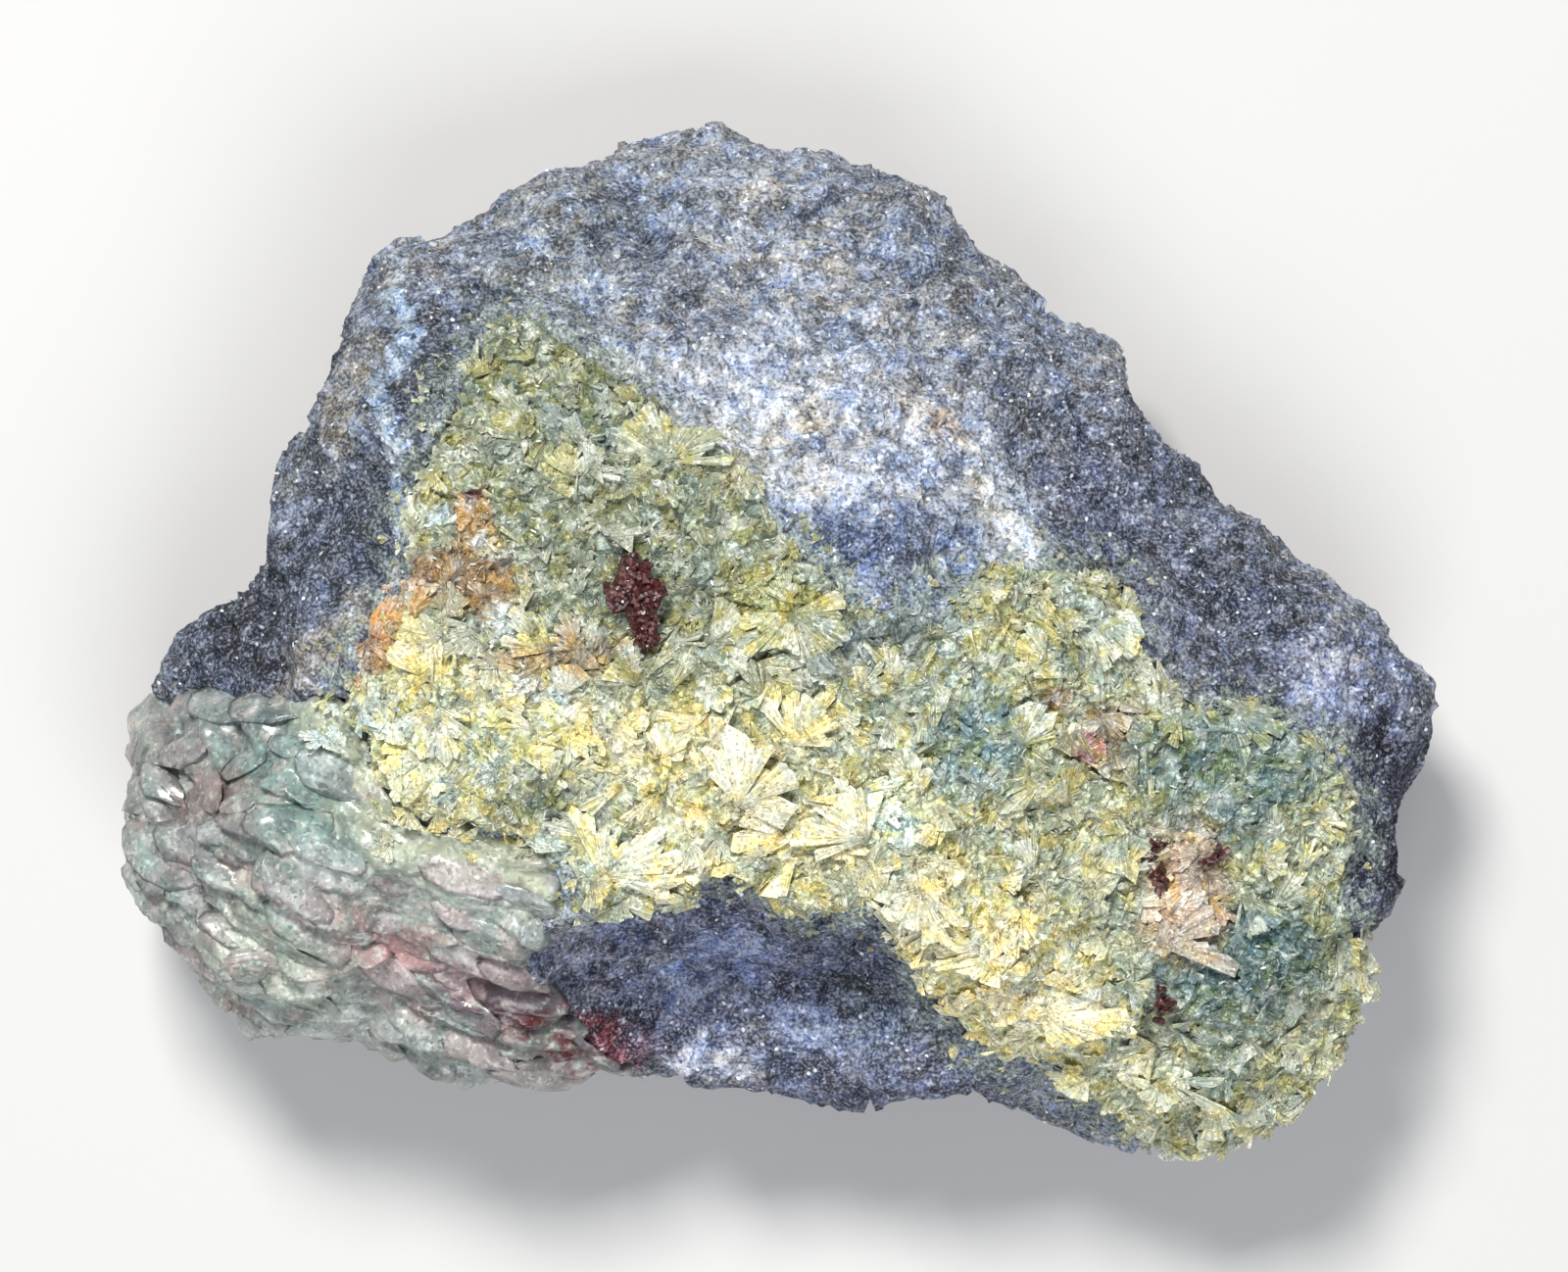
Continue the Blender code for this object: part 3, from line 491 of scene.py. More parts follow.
def make_rock_material():
    material, tree, shader = new_material("blue_grey_rock")
    objects = add_node(tree, "TexCoord").outputs["Object"]
    where = use_group(tree, wandering_place, {"Vector": objects, "Coarse": 2.4, "Fine": 1.4})
    base = use_group(tree, rock_patches, {"Place": where["Place"]})["Color"]
    height = add_node(tree, "SeparateXYZ", {0: where["Place"]}).outputs["Z"]
    base = mix_colours(tree, ramp_between(tree, height, 2.0, 7.0, 1.0, 0.0), base, ROCK_SIDES)

    for scale, detail, beige, blue, low, high in ROCK_CLOUDS:
        clouds = add_node(tree, "TexNoise", {"Vector": where["Straight"], "Scale": scale, "Detail": detail})
        clouds.inputs["Roughness"].default_value = 0.6
        hues = add_node(tree, "SeparateColor", {0: clouds.outputs["Color"]}).outputs
        warm = ramp_between(tree, hues[0], 0.46, 0.62, 0.0, 0.8)
        base = mix_colours(tree, warm, base, mix_colours(tree, 1.0, base, beige, "MULTIPLY"))
        cold = ramp_between(tree, hues[1], 0.48, 0.62, 0.0, 0.8)
        base = mix_colours(tree, cold, base, mix_colours(tree, 1.0, base, blue, "MULTIPLY"))
        base = mix_colours(tree, 1.0, base, ramp_between(tree, hues[2], 0.36, 0.62, low, high), "MULTIPLY")
        base = lifted(tree, base, CLOUD_LIFT, ramp_between(tree, hues[2], 0.50, 0.62))
    stain = math_node(tree, "MULTIPLY", attribute(tree, "stain"), ramp_between(tree, hues[0], 0.38, 0.58))
    base = mix_colours(tree, stain, base, (0.27, 0.33, 0.26))
    specks = add_node(tree, "TexNoise", {"Vector": where["Straight"], "Scale": 4.8, "Detail": 1.0}).outputs["Fac"]
    deep = mix_colours(tree, 1.0, base, (0.30, 0.37, 0.52), "MULTIPLY")
    base = mix_colours(tree, ramp_between(tree, specks, 0.38, 0.44, 0.9, 0.0), base, deep)
    base = lifted(tree, base, SPECK_LIFT, ramp_between(tree, specks, 0.53, 0.585))
    shoulder = add_node(tree, "VectorMath", {0: base, 1: (0.64,) * 3, 2: (0.70,) * 3}, operation="MULTIPLY_ADD")
    base = vector_node(tree, "DIVIDE", base, shoulder.outputs["Vector"])

    # The light grains are partly white grains and partly painted glints, strongest in the dark zones.
    fine = use_group(
        tree,
        sugary_grain,
        {
            "Place": where["Straight"],
            "Color": base,
            "Light": (0.80, 0.84, 0.92),
            "Dark": (0.035, 0.045, 0.08),
            "Size": 0.26,
            "Light Share": 0.10,
            "Dark Share": 0.12,
            "Strength": 0.65,
            "Contrast": 0.26,
            "Tilt": 0.38,
        },
    )
    tree.links.new(fine["Color"], shader["Base Color"])
    roughness = ramp_between(tree, fine["Gloss"], 0.0, 1.0, 0.75, 0.30)
    tree.links.new(roughness, shader["Roughness"])
    tree.links.new(fine["Normal"], shader["Normal"])
    return material


rock_material = make_rock_material()


# %% [markdown]
# ## Radiating fibres
#
# Close up, every fan is a sheaf of fibres a tenth of a millimetre wide that run out from its centre.
# Modelling each would take millions of faces. Noise can draw them: if it is read at the direction from
# the centre to a point, and not at the point itself, it only changes from one direction to the next,
# so it makes rays. Planted fans know their centre from an attribute. On the ground between them the
# centres of Voronoi cells serve, so that the ground looks like smaller fans that have grown together.

# %% Fibre group
def make_fibre_group():
    tree, given, out = new_group(
        "radiating_fibres",
        [("Offset", "Vector", None), ("Seed", "Vector", None), ("Rays", "Float", 9.0)],
        [("Broad", "Float"), ("Fine", "Float")],
    )
    ray = scaled_vector(tree, vector_node(tree, "NORMALIZE", given["Offset"]), given["Rays"])
    along = scaled_vector(tree, given["Offset"], 0.5)
    place = vector_node(tree, "ADD", vector_node(tree, "ADD", ray, along), scaled_vector(tree, given["Seed"], 31.0))
    for name, scale in (("Broad", 0.36), ("Fine", 1.3)):
        rays = add_node(tree, "TexNoise", {"Vector": place, "Scale": scale, "Detail": 1.0})
        tree.links.new(rays.outputs["Fac"], out[name])
    return tree


radiating_fibres = make_fibre_group()


# %% Crust materials
def make_crust_material(name, on_blades):
    """The crust's finish: the blades take their colour at the foot of their own fan."""
    material, tree, shader = new_material(name)
    objects = add_node(tree, "TexCoord").outputs["Object"]
    foot = attribute(tree, "seat", "Vector") if on_blades else objects
    halfway = scaled_vector(tree, vector_node(tree, "ADD", foot, objects), 0.5)
    where = use_group(tree, wandering_place, {"Vector": halfway, "Coarse": 2.0, "Fine": 1.4})
    colour = use_group(tree, crust_patches, {"Place": where["Place"]})["Color"]
    straight = scaled_vector(tree, objects, 1 / MM)
    if on_blades:
        centre, seed, rays = scaled_vector(tree, foot, 1 / MM), attribute(tree, "fan"), 12.0
        offset = vector_node(tree, "SUBTRACT", straight, centre)
    else:
        flat = vector_node(tree, "MULTIPLY", straight, (1.0, 1.0, 0.4))
        cells = add_node(tree, "TexVoronoi", {"Vector": flat, "Scale": 1 / GROUND_FAN, "Randomness": 1.0})
        offset, seed, rays = vector_node(tree, "SUBTRACT", flat, cells.outputs["Position"]), cells.outputs["Color"], 8.0
    fibres = use_group(tree, radiating_fibres, {"Offset": offset, "Seed": seed, "Rays": rays})
    drift = add_node(tree, "TexNoise", {"Vector": straight, "Scale": 0.6, "Detail": 2.0})
    drifts = add_node(tree, "SeparateColor", {0: drift.outputs["Color"]}).outputs
    greyed = mix_colours(tree, 1.0, colour, (0.74, 0.88, 1.08), "MULTIPLY")
    colour = mix_colours(tree, ramp_between(tree, drifts[0], 0.48, 0.62, 0.0, 0.75), colour, greyed)
    golden = mix_colours(tree, 1.0, colour, (1.20, 1.04, 0.54), "MULTIPLY")
    colour = mix_colours(tree, ramp_between(tree, drifts[1], 0.48, 0.60, 0.0, 0.85), colour, golden)
    milky = ramp_between(tree, drifts[2], 0.50, 0.64, 0.0, 0.42)
    colour = mix_colours(tree, milky, colour, (0.80, 0.82, 0.74))
    depth = add_node(tree, "TexNoise", {"Vector": straight, "Scale": 1.1, "Detail": 1.0}).outputs["Fac"]
    colour = mix_colours(tree, 1.0, colour, ramp_between(tree, depth, 0.34, 0.56, 0.90, 1.10), "MULTIPLY")
    broad = ramp_between(tree, fibres["Broad"], 0.30, 0.70, 0.94, 1.12)
    colour = mix_colours(tree, 1.0, colour, broad, "MULTIPLY")
    fine = ramp_between(tree, fibres["Fine"], 0.30, 0.70, 0.76, 1.28)
    colour = mix_colours(tree, 1.0, colour, fine, "MULTIPLY")
    # Painted highlight: the peaks of the fine fibres turn near white, partly pale fibres and partly painted sheen
    # streaks.
    colour = mix_colours(tree, ramp_between(tree, fibres["Fine"], 0.60, 0.74, 0.0, 0.5), colour, (0.92, 0.91, 0.80))
    if on_blades:
        tone = attribute(tree, "tone")
        fan = attribute(tree, "fan")
        along = attribute(tree, "along")
        grey = ramp_between(tree, fan, 0.10, 0.36, 0.30, 0.0)
        colour = mix_colours(tree, grey, colour, (0.42, 0.46, 0.40))
        # Painted highlight: a few blades turn near white, partly pale blades and partly painted gloss.
        pale = ramp_between(tree, tone, 0.86, 1.0, 0.0, 0.3)
        colour = mix_colours(tree, pale, colour, (0.90, 0.90, 0.82))
        value = ramp_between(tree, tone, 0.0, 0.8, 0.92, 1.08)
        # Painted shade: each blade is a little darker at its root, where the blades of a fan crowd together, and
        # lighter at its tip.
        value = math_node(tree, "MULTIPLY", value, ramp_between(tree, along, 0.0, 1.0, 0.98, 1.05))
        colour = mix_colours(tree, 1.0, colour, value, "MULTIPLY")
        grain_size, light_share, dark_share, tilt = 0.16, 0.12, 0.10, 0.20
    else:
        # The ground between the fans is greyed and darkened: partly its own grey grit, partly painted shade in the gaps
        # between the fans.
        colour = mix_colours(tree, 1.0, colour, (0.82, 0.88, 0.92), "MULTIPLY")
        grain_size, light_share, dark_share, tilt = 0.30, 0.16, 0.13, 0.5
    # The light grains here are painted glints, near white on the blades and the ground.
    grain = use_group(
        tree,
        sugary_grain,
        {
            "Place": straight,
            "Color": colour,
            "Light": (0.95, 0.96, 0.92),
            "Dark": (0.10, 0.12, 0.09),
            "Size": grain_size,
            "Light Share": light_share,
            "Dark Share": dark_share,
            "Strength": 0.6,
            "Contrast": 0.30,
            "Tilt": tilt,
        },
    )
    tree.links.new(grain["Color"], shader["Base Color"])
    tree.links.new(ramp_between(tree, fibres["Fine"], 0.50, 0.72, 0.50, 0.20), shader["Roughness"])
    bump = add_node(tree, "Bump", {"Height": fibres["Fine"], "Normal": grain["Normal"]})
    bump.inputs["Strength"].default_value = 0.8
    bump.inputs["Distance"].default_value = 0.16 * MM
    tree.links.new(bump.outputs["Normal"], shader["Normal"])
    return material


GROUND_FAN = 2.4
crust_material = make_crust_material("crust_ground", False)
blade_material = make_crust_material("pyrophyllite_blades", True)


# %% Scaly and rutile materials
def make_scaly_material():
    material, tree, shader = new_material("pearly_scales")
    objects = add_node(tree, "TexCoord").outputs["Object"]
    where = use_group(tree, wandering_place, {"Vector": objects, "Coarse": 1.8, "Fine": 1.0})
    colour = use_group(tree, scaly_patches, {"Place": where["Place"]})["Color"]
    height = add_node(tree, "SeparateXYZ", {0: where["Place"]}).outputs["Z"]
    colour = mix_colours(tree, ramp_between(tree, height, 1.0, 5.0, 1.0, 0.0), colour, SCALY_BASE)
    clouds = add_node(tree, "TexNoise", {"Vector": where["Straight"], "Scale": 0.45, "Detail": 4.0})
    hues = add_node(tree, "SeparateColor", {0: clouds.outputs["Color"]})
    pink = ramp_between(tree, hues.outputs[0], 0.50, 0.64, 0.0, 0.6)
    colour = mix_colours(tree, pink, colour, (0.44, 0.32, 0.29))
    sea_green = ramp_between(tree, hues.outputs[2], 0.50, 0.64, 0.0, 0.5)
    colour = mix_colours(tree, sea_green, colour, (0.28, 0.42, 0.37))
    veil = add_node(tree, "TexNoise", {"Vector": where["Straight"], "Scale": 0.9, "Detail": 2.0}).outputs["Fac"]
    colour = mix_colours(tree, ramp_between(tree, veil, 0.52, 0.68, 0.0, 0.5), colour, (0.58, 0.60, 0.53))
    colour = mix_colours(tree, ramp_between(tree, veil, 0.46, 0.32, 0.0, 0.5), colour, (0.16, 0.17, 0.16))
    shade = attribute(tree, "shade")
    colour = mix_colours(tree, ramp_between(tree, shade, 0.30, 0.45, 0.0, 0.45), colour, (0.40, 0.43, 0.42))
    colour = mix_colours(tree, ramp_between(tree, shade, 0.76, 0.84, 0.0, 0.35), colour, (0.47, 0.30, 0.29))
    blend = math_node(tree, "MULTIPLY", attribute(tree, "near_crust"), ramp_between(tree, hues.outputs[2], 0.28, 0.5))
    colour = mix_colours(tree, blend, colour, (0.48, 0.52, 0.38))
    blend = math_node(tree, "MULTIPLY", attribute(tree, "near_rock"), ramp_between(tree, hues.outputs[0], 0.35, 0.6))
    colour = mix_colours(tree, blend, colour, (0.27, 0.30, 0.31))
    dim = ramp_between(tree, hues.outputs[1], 0.34, 0.64, 0.62, 1.10)
    colour = mix_colours(tree, 1.0, colour, dim, "MULTIPLY")
    grain = use_group(
        tree,
        sugary_grain,
        {
            "Place": where["Straight"],
            "Color": colour,
            "Light": (0.80, 0.84, 0.78),
            "Dark": (0.18, 0.22, 0.20),
            "Size": 0.24,
            "Light Share": 0.12,
            "Dark Share": 0.12,
            "Strength": 0.45,
            "Contrast": 0.28,
            "Tilt": 0.20,
        },
    )
    tree.links.new(grain["Color"], shader["Base Color"])
    tree.links.new(ramp_between(tree, grain["Gloss"], 0.0, 1.0, 0.36, 0.20), shader["Roughness"])
    tree.links.new(grain["Normal"], shader["Normal"])
    shader["Coat Weight"].default_value = 0.5
    shader["Coat Roughness"].default_value = 0.12
    return material


def make_rutile_material():
    material, tree, shader = new_material("dark_red_rutile")
    objects = add_node(tree, "TexCoord").outputs["Object"]
    # The light grains are painted glints on the dark red crystals.
    grain = use_group(
        tree,
        sugary_grain,
        {
            "Place": scaled_vector(tree, objects, 1 / MM),
            "Color": (0.080, 0.018, 0.016),
            "Light": (0.55, 0.40, 0.38),
            "Dark": (0.01, 0.002, 0.003),
            "Size": 0.24,
            "Light Share": 0.20,
            "Dark Share": 0.30,
            "Strength": 0.8,
            "Contrast": 0.6,
            "Tilt": 0.5,
        },
    )
    tree.links.new(grain["Color"], shader["Base Color"])
    tree.links.new(ramp_between(tree, grain["Gloss"], 0.0, 1.0, 0.30, 0.12), shader["Roughness"])
    tree.links.new(grain["Normal"], shader["Normal"])
    shader["Specular IOR Level"].default_value = 0.8
    return material


scaly_material = make_scaly_material()
rutile_material = make_rutile_material()


def make_floor_material():
    material, tree, shader = new_material("pale_floor")
    where = add_node(tree, "TexCoord").outputs["Object"]
    mottle = add_node(tree, "TexNoise", {"Vector": where, "Scale": 6.0, "Detail": 2.0}).outputs["Fac"]
    tree.links.new(mix_colours(tree, mottle, (0.70, 0.69, 0.67), (0.73, 0.72, 0.70)), shader["Base Color"])
    shader["Roughness"].default_value = 0.8
    return material


floor.data.materials.append(make_floor_material())
print("materials:", sorted(material.name for material in bpy.data.materials))


# %% [markdown]
# ## Broken stone
#
# Broken rock is made of small flat chips that meet at steps, over larger lumps. Plain noise makes it
# look melted. So the chips come from Voronoi cells in space: inside each cell the surface is pushed
# to one tilted plane, and at the border of two cells there is a small step. Three sizes of chips,
# laid over each other, give a fracture that stays sharp at every scale. The solids of the three
# stones are first turned into one even skin with a voxel remesh.

# %% Even skins from the solids
def solid_bmesh(*nodes):
    """The welded solids of some nodes in one bmesh."""
    bm = bmesh.new()
    for name in nodes:
        bm.from_mesh(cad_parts[name].data)
    bmesh.ops.remove_doubles(bm, verts=bm.verts, dist=0.001 * MM)
    return bm


def even_skin(bm, *voxels):
    """A bmesh remeshed to small even faces, once for each voxel size in millimetres."""
    mesh = bpy.data.meshes.new("skin")
    bm.to_mesh(mesh)
    bm.free()
    holder = bpy.data.objects.new("skin", mesh)
    bpy.context.scene.collection.objects.link(holder)
    for voxel in voxels:
        remesh = holder.modifiers.new("even", "REMESH")
        remesh.mode = "VOXEL"
        remesh.voxel_size = voxel * MM
    bpy.context.view_layer.update()
    graph = bpy.context.evaluated_depsgraph_get()
    skin = bmesh.new()
    skin.from_mesh(holder.evaluated_get(graph).data)
    bpy.data.objects.remove(holder)
    bpy.data.meshes.remove(mesh)
    skin.normal_update()
    return skin


def smooth_step(value, low, high):
    share = min(1.0, max(0.0, (value - low) / (high - low)))
    return share * share * (3 - 2 * share)


CELL_SPREAD = 37.0


def chip_height(point, size, steepness, step):
    """Height in millimetres of flat chips of one size at a point in millimetres."""
    spot = point / size
    centre = noise.voronoi(spot)[1][0]
    lean = noise.cell_vector(centre * CELL_SPREAD) - Vector((0.5, 0.5, 0.5))
    return size * (steepness * 2 * lean.dot(spot - centre) + step * 2 * lean.x)


def keep_in_box(bm):
    """Moves the few points that pass the CAD box back onto it."""
    low, high = cad_box
    for vert in bm.verts:
        for axis in range(3):
            vert.co[axis] = min(high[axis], max(low[axis], vert.co[axis]))


def push_out(bm, height_at):
    """Moves each point of a skin along its normal, by a height in millimetres at its place."""
    places = [vert.co + vert.normal * height_at(vert.co / MM) * MM for vert in bm.verts]
    for vert, place in zip(bm.verts, places):
        vert.co = place
    keep_in_box(bm)


def finish_piece(name, bm, material, replaced=()):
    """Makes a bmesh a piece that rides on the specimen."""
    mesh = bpy.data.meshes.new(name)
    bm.to_mesh(mesh)
    bm.free()
    mesh.materials.append(material)
    piece = bpy.data.objects.new(name, mesh)
    bpy.context.scene.collection.objects.link(piece)
    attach(piece, "root")
    if replaced:
        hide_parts(*replaced)
    faces = sum(len(face.vertices) - 2 for face in mesh.polygons)
    print(f"{name}: {faces} triangles")
    return piece


crust_tree = BVHTree.FromBMesh(solid_bmesh("pyrophyllite_crust"))
scaly_tree = BVHTree.FromBMesh(solid_bmesh("scaly_pyrophyllite"))
rock_tree = BVHTree.FromBMesh(solid_bmesh("matrix_rock"))


def distance(tree, point):
    """How far a point in millimetres is from a solid's surface, in millimetres."""
    return tree.find_nearest(point * MM)[3] / MM


# %% The rock
ALL_STONES = ("matrix_rock", "pyrophyllite_crust", "scaly_pyrophyllite", "rutile_cluster")
ROCK_VOXELS = (0.9, 0.45)
SINK_UNDER_COVER = 1.7
STAIN_REACH = 3.4


def rock_height(point):
    lumps = 0.55 * noise.fractal(point / 7.0, 1.0, 2.0, 3)
    chips = chip_height(point, 4.2, 0.14, 0.05) + chip_height(point + Vector((9, 9, 9)), 1.7, 0.18, 0.06)
    grains = chip_height(point, 0.75, 0.20, 0.08)
    height = (lumps + chips + grains) * smooth_step(point.z, 0.1, 1.8)
    covered = distance(rock_tree, point) - min(distance(crust_tree, point), distance(scaly_tree, point))
    return height - SINK_UNDER_COVER * smooth_step(covered, 0.2, 1.4)


rock = even_skin(solid_bmesh(*ALL_STONES), *ROCK_VOXELS)
push_out(rock, rock_height)
stain = rock.verts.layers.float.new("stain")
for vert in rock.verts:
    vert[stain] = 0.8 * smooth_step(STAIN_REACH - distance(crust_tree, vert.co / MM), 0.0, STAIN_REACH)
rock_piece = finish_piece("rock", rock, rock_material, ["matrix_rock"])


# %% The crust's ground
def fan_relief(point, size):
    """Low fans that have grown together: furrows that run out from the centre of each cell."""
    spot = point / size
    offset = spot - noise.voronoi(spot)[1][0]
    ray = noise.noise(offset.normalized() * 2.4 + spot * 0.4)
    return size * (0.16 * ray * smooth_step(offset.length, 0.05, 0.4) - 0.12 * offset.length)


def crust_height(point):
    height = 0.2 + 0.25 * noise.fractal(point / 3.0, 1.0, 2.0, 3)
    height += chip_height(point, 1.3, 0.30, 0.06) + chip_height(point, 0.6, 0.30, 0.08)
    height += fan_relief(point, 2.6) + fan_relief(point + Vector((5, 5, 5)), 1.5)
    return height - RUTILE_FREE * smooth_step(1.1 - distance(rutile_tree, point), 0.0, 0.8)


RUTILE_FREE = 1.2
rutile_tree = BVHTree.FromBMesh(solid_bmesh("rutile_cluster"))
crust = even_skin(solid_bmesh("pyrophyllite_crust", "rutile_cluster"), 0.5, 0.34)
push_out(crust, crust_height)
crust_ground = finish_piece("crust_ground", crust, crust_material, ["pyrophyllite_crust"])


# %% The scaly mass's ground
LEDGE_FALL = Vector((0.34, 0.94, 0.85))


def ledge_height(point, spacing, lip, wander):
    """Sheets whose worn lower edges stand out, in wavy rows that fall to the lower right."""
    row = point.dot(LEDGE_FALL) + wander * noise.noise(point / (2.2 * spacing))
    row += 0.35 * wander * noise.noise(point / (0.8 * spacing) + Vector((5, 5, 5)))
    share = (row / spacing) % 1.0
    presence = smooth_step(noise.noise(point / (1.6 * spacing) - Vector((7, 3, 1))), -0.35, 0.25)
    return lip * presence * smooth_step(share, 0.0, 0.16) * (1.0 - share)


def scaly_height(point):
    ledges = ledge_height(point, 3.1, 1.5, 3.2) + ledge_height(point + Vector((3, 1, 2)), 1.6, 0.35, 1.3)
    return ledges - 0.35 + 0.3 * noise.fractal(point / 4.5, 1.0, 2.0, 2)


scaly = even_skin(solid_bmesh("scaly_pyrophyllite"), 0.5, 0.30)
push_out(scaly, scaly_height)
near_crust = scaly.verts.layers.float.new("near_crust")
near_rock = scaly.verts.layers.float.new("near_rock")
for vert in scaly.verts:
    vert[near_crust] = smooth_step(6.5 - distance(crust_tree, vert.co / MM), 0.0, 5.0)
    vert[near_rock] = smooth_step(1.8 - distance(rock_tree, vert.co / MM), 0.0, 1.6)
for face in scaly.faces:
    face.smooth = True
scaly_ground = finish_piece("scaly_ground", scaly, scaly_material, ["scaly_pyrophyllite"])


# %% [markdown]
# ## Fans of blades
#
# A pyrophyllite fan is a bundle of thin flat blades that start at one point and spread. Each blade is
# a four-sided cone with a narrow root and a wide end, pressed flat, so it has a ridge along its
# middle and two faces that catch the light differently. A few fan shapes are made once, of unit
# size, and many copies are then placed over the crust, each turned and scaled on its own. Most of
# them slope down a little from their centre, so that neighbours cut into each other along lines, as
# crystals do that grew until they met.

# %% Unit fans
def unit_fan(name, rng, blades, arc, rise, thickness, unruly=1.0, uneven=0.0, width=0.66):
    """A fan of blades of about unit length in the XY plane, opening around +X, with its tones stored."""
    bm = bmesh.new()
    tone = bm.verts.layers.float.new("tone")
    along = bm.verts.layers.float.new("along")
    step = math.radians(arc) / blades
    waves = Vector((rng.uniform(0, 99), rng.uniform(0, 99), 0.0))
    for number in range(blades):
        length = rng.uniform(0.66, 1.0) * (1.0 + uneven * noise.noise(waves + Vector((0.45 * number, 0.0, 0.0))))
        half = width * step * length
        blade = bmesh.ops.create_cone(
            bm, cap_ends=True, segments=4, radius1=0.16 * half, radius2=half, depth=length
        )["verts"]
        shade = rng.random()
        for vert in blade:
            far = vert.co.z > 0
            vert[tone] = shade
            vert[along] = 1.0 if far else 0.0
            vert.co.y *= thickness / half * 0.5 if far else thickness
            if far:
                ridge = abs(vert.co.y) > abs(vert.co.x) * 0.2
                vert.co.z += (0.05 if ridge else rng.uniform(-0.10, 0.02)) * length
        lying = Matrix.Rotation(math.radians(90), 4, "Y") @ Matrix.Translation((0.0, 0.0, length / 2))
        roll = Matrix.Rotation(math.radians(90 + rng.uniform(-14, 14) * unruly), 4, "X")
        pitch = Matrix.Rotation(math.radians(-rise + rng.uniform(-3, 3) * unruly), 4, "Y")
        turn = Matrix.Rotation(step * (number + 0.5 - blades / 2 + rng.uniform(-0.3, 0.3)), 4, "Z")
        bmesh.ops.transform(bm, matrix=turn @ pitch @ roll @ lying, verts=blade)
    mesh = bpy.data.meshes.new(name)
    bm.to_mesh(mesh)
    bm.free()
    return mesh


fan_rng = random.Random(3)
WIDE_FANS = [
    unit_fan("wide_fan", fan_rng, fan_rng.randint(16, 24), fan_rng.uniform(110, 240), -5, 0.04, 0.9, 0.7, 0.85)
    for _ in range(10)
]
FANS = [
    unit_fan("fan", fan_rng, fan_rng.randint(7, 13), fan_rng.uniform(60, 170), fan_rng.uniform(-8, 0), 0.04, 0.7, 0.5, 0.85)
    for _ in range(24)
]
TUFTS = [unit_fan("tuft", fan_rng, fan_rng.randint(3, 6), fan_rng.uniform(50, 120), 6, 0.10, 2.5) for _ in range(14)]
SINGLE_BLADES = [unit_fan("blade", fan_rng, 1, fan_rng.uniform(9, 14), 3, 0.05) for _ in range(4)]
print("unit fans:", len(WIDE_FANS), len(FANS), len(TUFTS))


# %% Places on a surface
def surface_places(piece, count, spacing, rng, allowed):
    """Random places on a piece with some spacing between them: (point, direction)."""
    mesh = piece.data
    areas = np.zeros(len(mesh.polygons))
    mesh.polygons.foreach_get("area", areas)
    reach = np.cumsum(areas)
    found = []
    cells = {}
    for _ in range(count * 12):
        if len(found) == count:
            break
        face = mesh.polygons[int(np.searchsorted(reach, rng.random() * reach[-1]))]
        spot = Vector(face.center)
        if not allowed(spot / MM, face.normal):
            continue
        cell = tuple(int(math.floor(value / spacing / MM)) for value in spot)
        near = [
            other
            for dx in (-1, 0, 1)
            for dy in (-1, 0, 1)
            for dz in (-1, 0, 1)
            for other in cells.get((cell[0] + dx, cell[1] + dy, cell[2] + dz), ())
        ]
        if any((spot - other).length < spacing * MM for other in near):
            continue
        cells.setdefault(cell, []).append(spot)
        found.append((spot, Vector(face.normal)))
    return found


def way_back_in(mesh):
    """The shift that brings a small mesh that sticks out of the CAD box back inside."""
    points = np.zeros(3 * len(mesh.vertices))
    mesh.vertices.foreach_get("co", points)
    points = points.reshape(-1, 3)
    over = np.maximum(points.max(axis=0) - np.array(cad_box[1]), 0.0)
    under = np.maximum(np.array(cad_box[0]) - points.min(axis=0), 0.0)
    return Vector(under - over)


def settle(mesh, tree, reach):
    """Bends what stands more than a reach above the ground down towards it, as grown-together blades lie."""
    for vert in mesh.vertices:
        ground = tree.find_nearest(vert.co)[0]
        rise = vert.co - ground
        over = rise.length - reach * MM
        if over > 0:
            vert.co = vert.co - rise.normalized() * 0.8 * over


def plant(name, shapes, places, sizes, lean, lift, rng, material, reach=None):
    """Copies of the shapes at the places, joined in one piece: each is turned, tilted and scaled."""
    planted = []
    for spot, direction in places:
        mesh = rng.choice(shapes).copy()
        fan = mesh.attributes.new("fan", "FLOAT", "POINT")
        fan.data.foreach_set("value", [rng.random()] * len(mesh.vertices))
        seat = mesh.attributes.new("seat", "FLOAT_VECTOR", "POINT")
        seat.data.foreach_set("vector", list(spot) * len(mesh.vertices))
        tilt = Vector((rng.uniform(-lean, lean), rng.uniform(-lean, lean), rng.uniform(-lean, lean)))
        up = (direction + tilt).normalized()
        turn = up.to_track_quat("Z", "Y").to_matrix().to_4x4() @ Matrix.Rotation(rng.uniform(0, math.tau), 4, "Z")
        size = rng.uniform(*sizes) * MM
        place = Matrix.Translation(spot + direction * lift * MM) @ turn @ Matrix.Scale(size, 4)
        mesh.transform(place)
        if reach:
            settle(mesh, ground_tree, reach)
        mesh.transform(Matrix.Translation(way_back_in(mesh)))
        holder = bpy.data.objects.new("planted", mesh)
        bpy.context.scene.collection.objects.link(holder)
        planted.append(holder)
    with bpy.context.temp_override(active_object=planted[0], selected_editable_objects=planted):
        bpy.ops.object.join()
    joined = bmesh.new()
    joined.from_mesh(planted[0].data)
    bpy.data.objects.remove(planted[0])
    print(name, "places:", len(places))
    return finish_piece(name, joined, material)


plant_rng = random.Random(17)

# %% [markdown]
# ## Where the fans grow
#
# Fans don't cover the whole crust. Green and grey zones are granular, with only tiny blades. The
# large stars stand along the lower edge and around the middle, and their centres are given, because
# each of them is a feature of this specimen. The others are scattered with a smallest distance
# between them, so that they neither pile up nor leave bald spots.

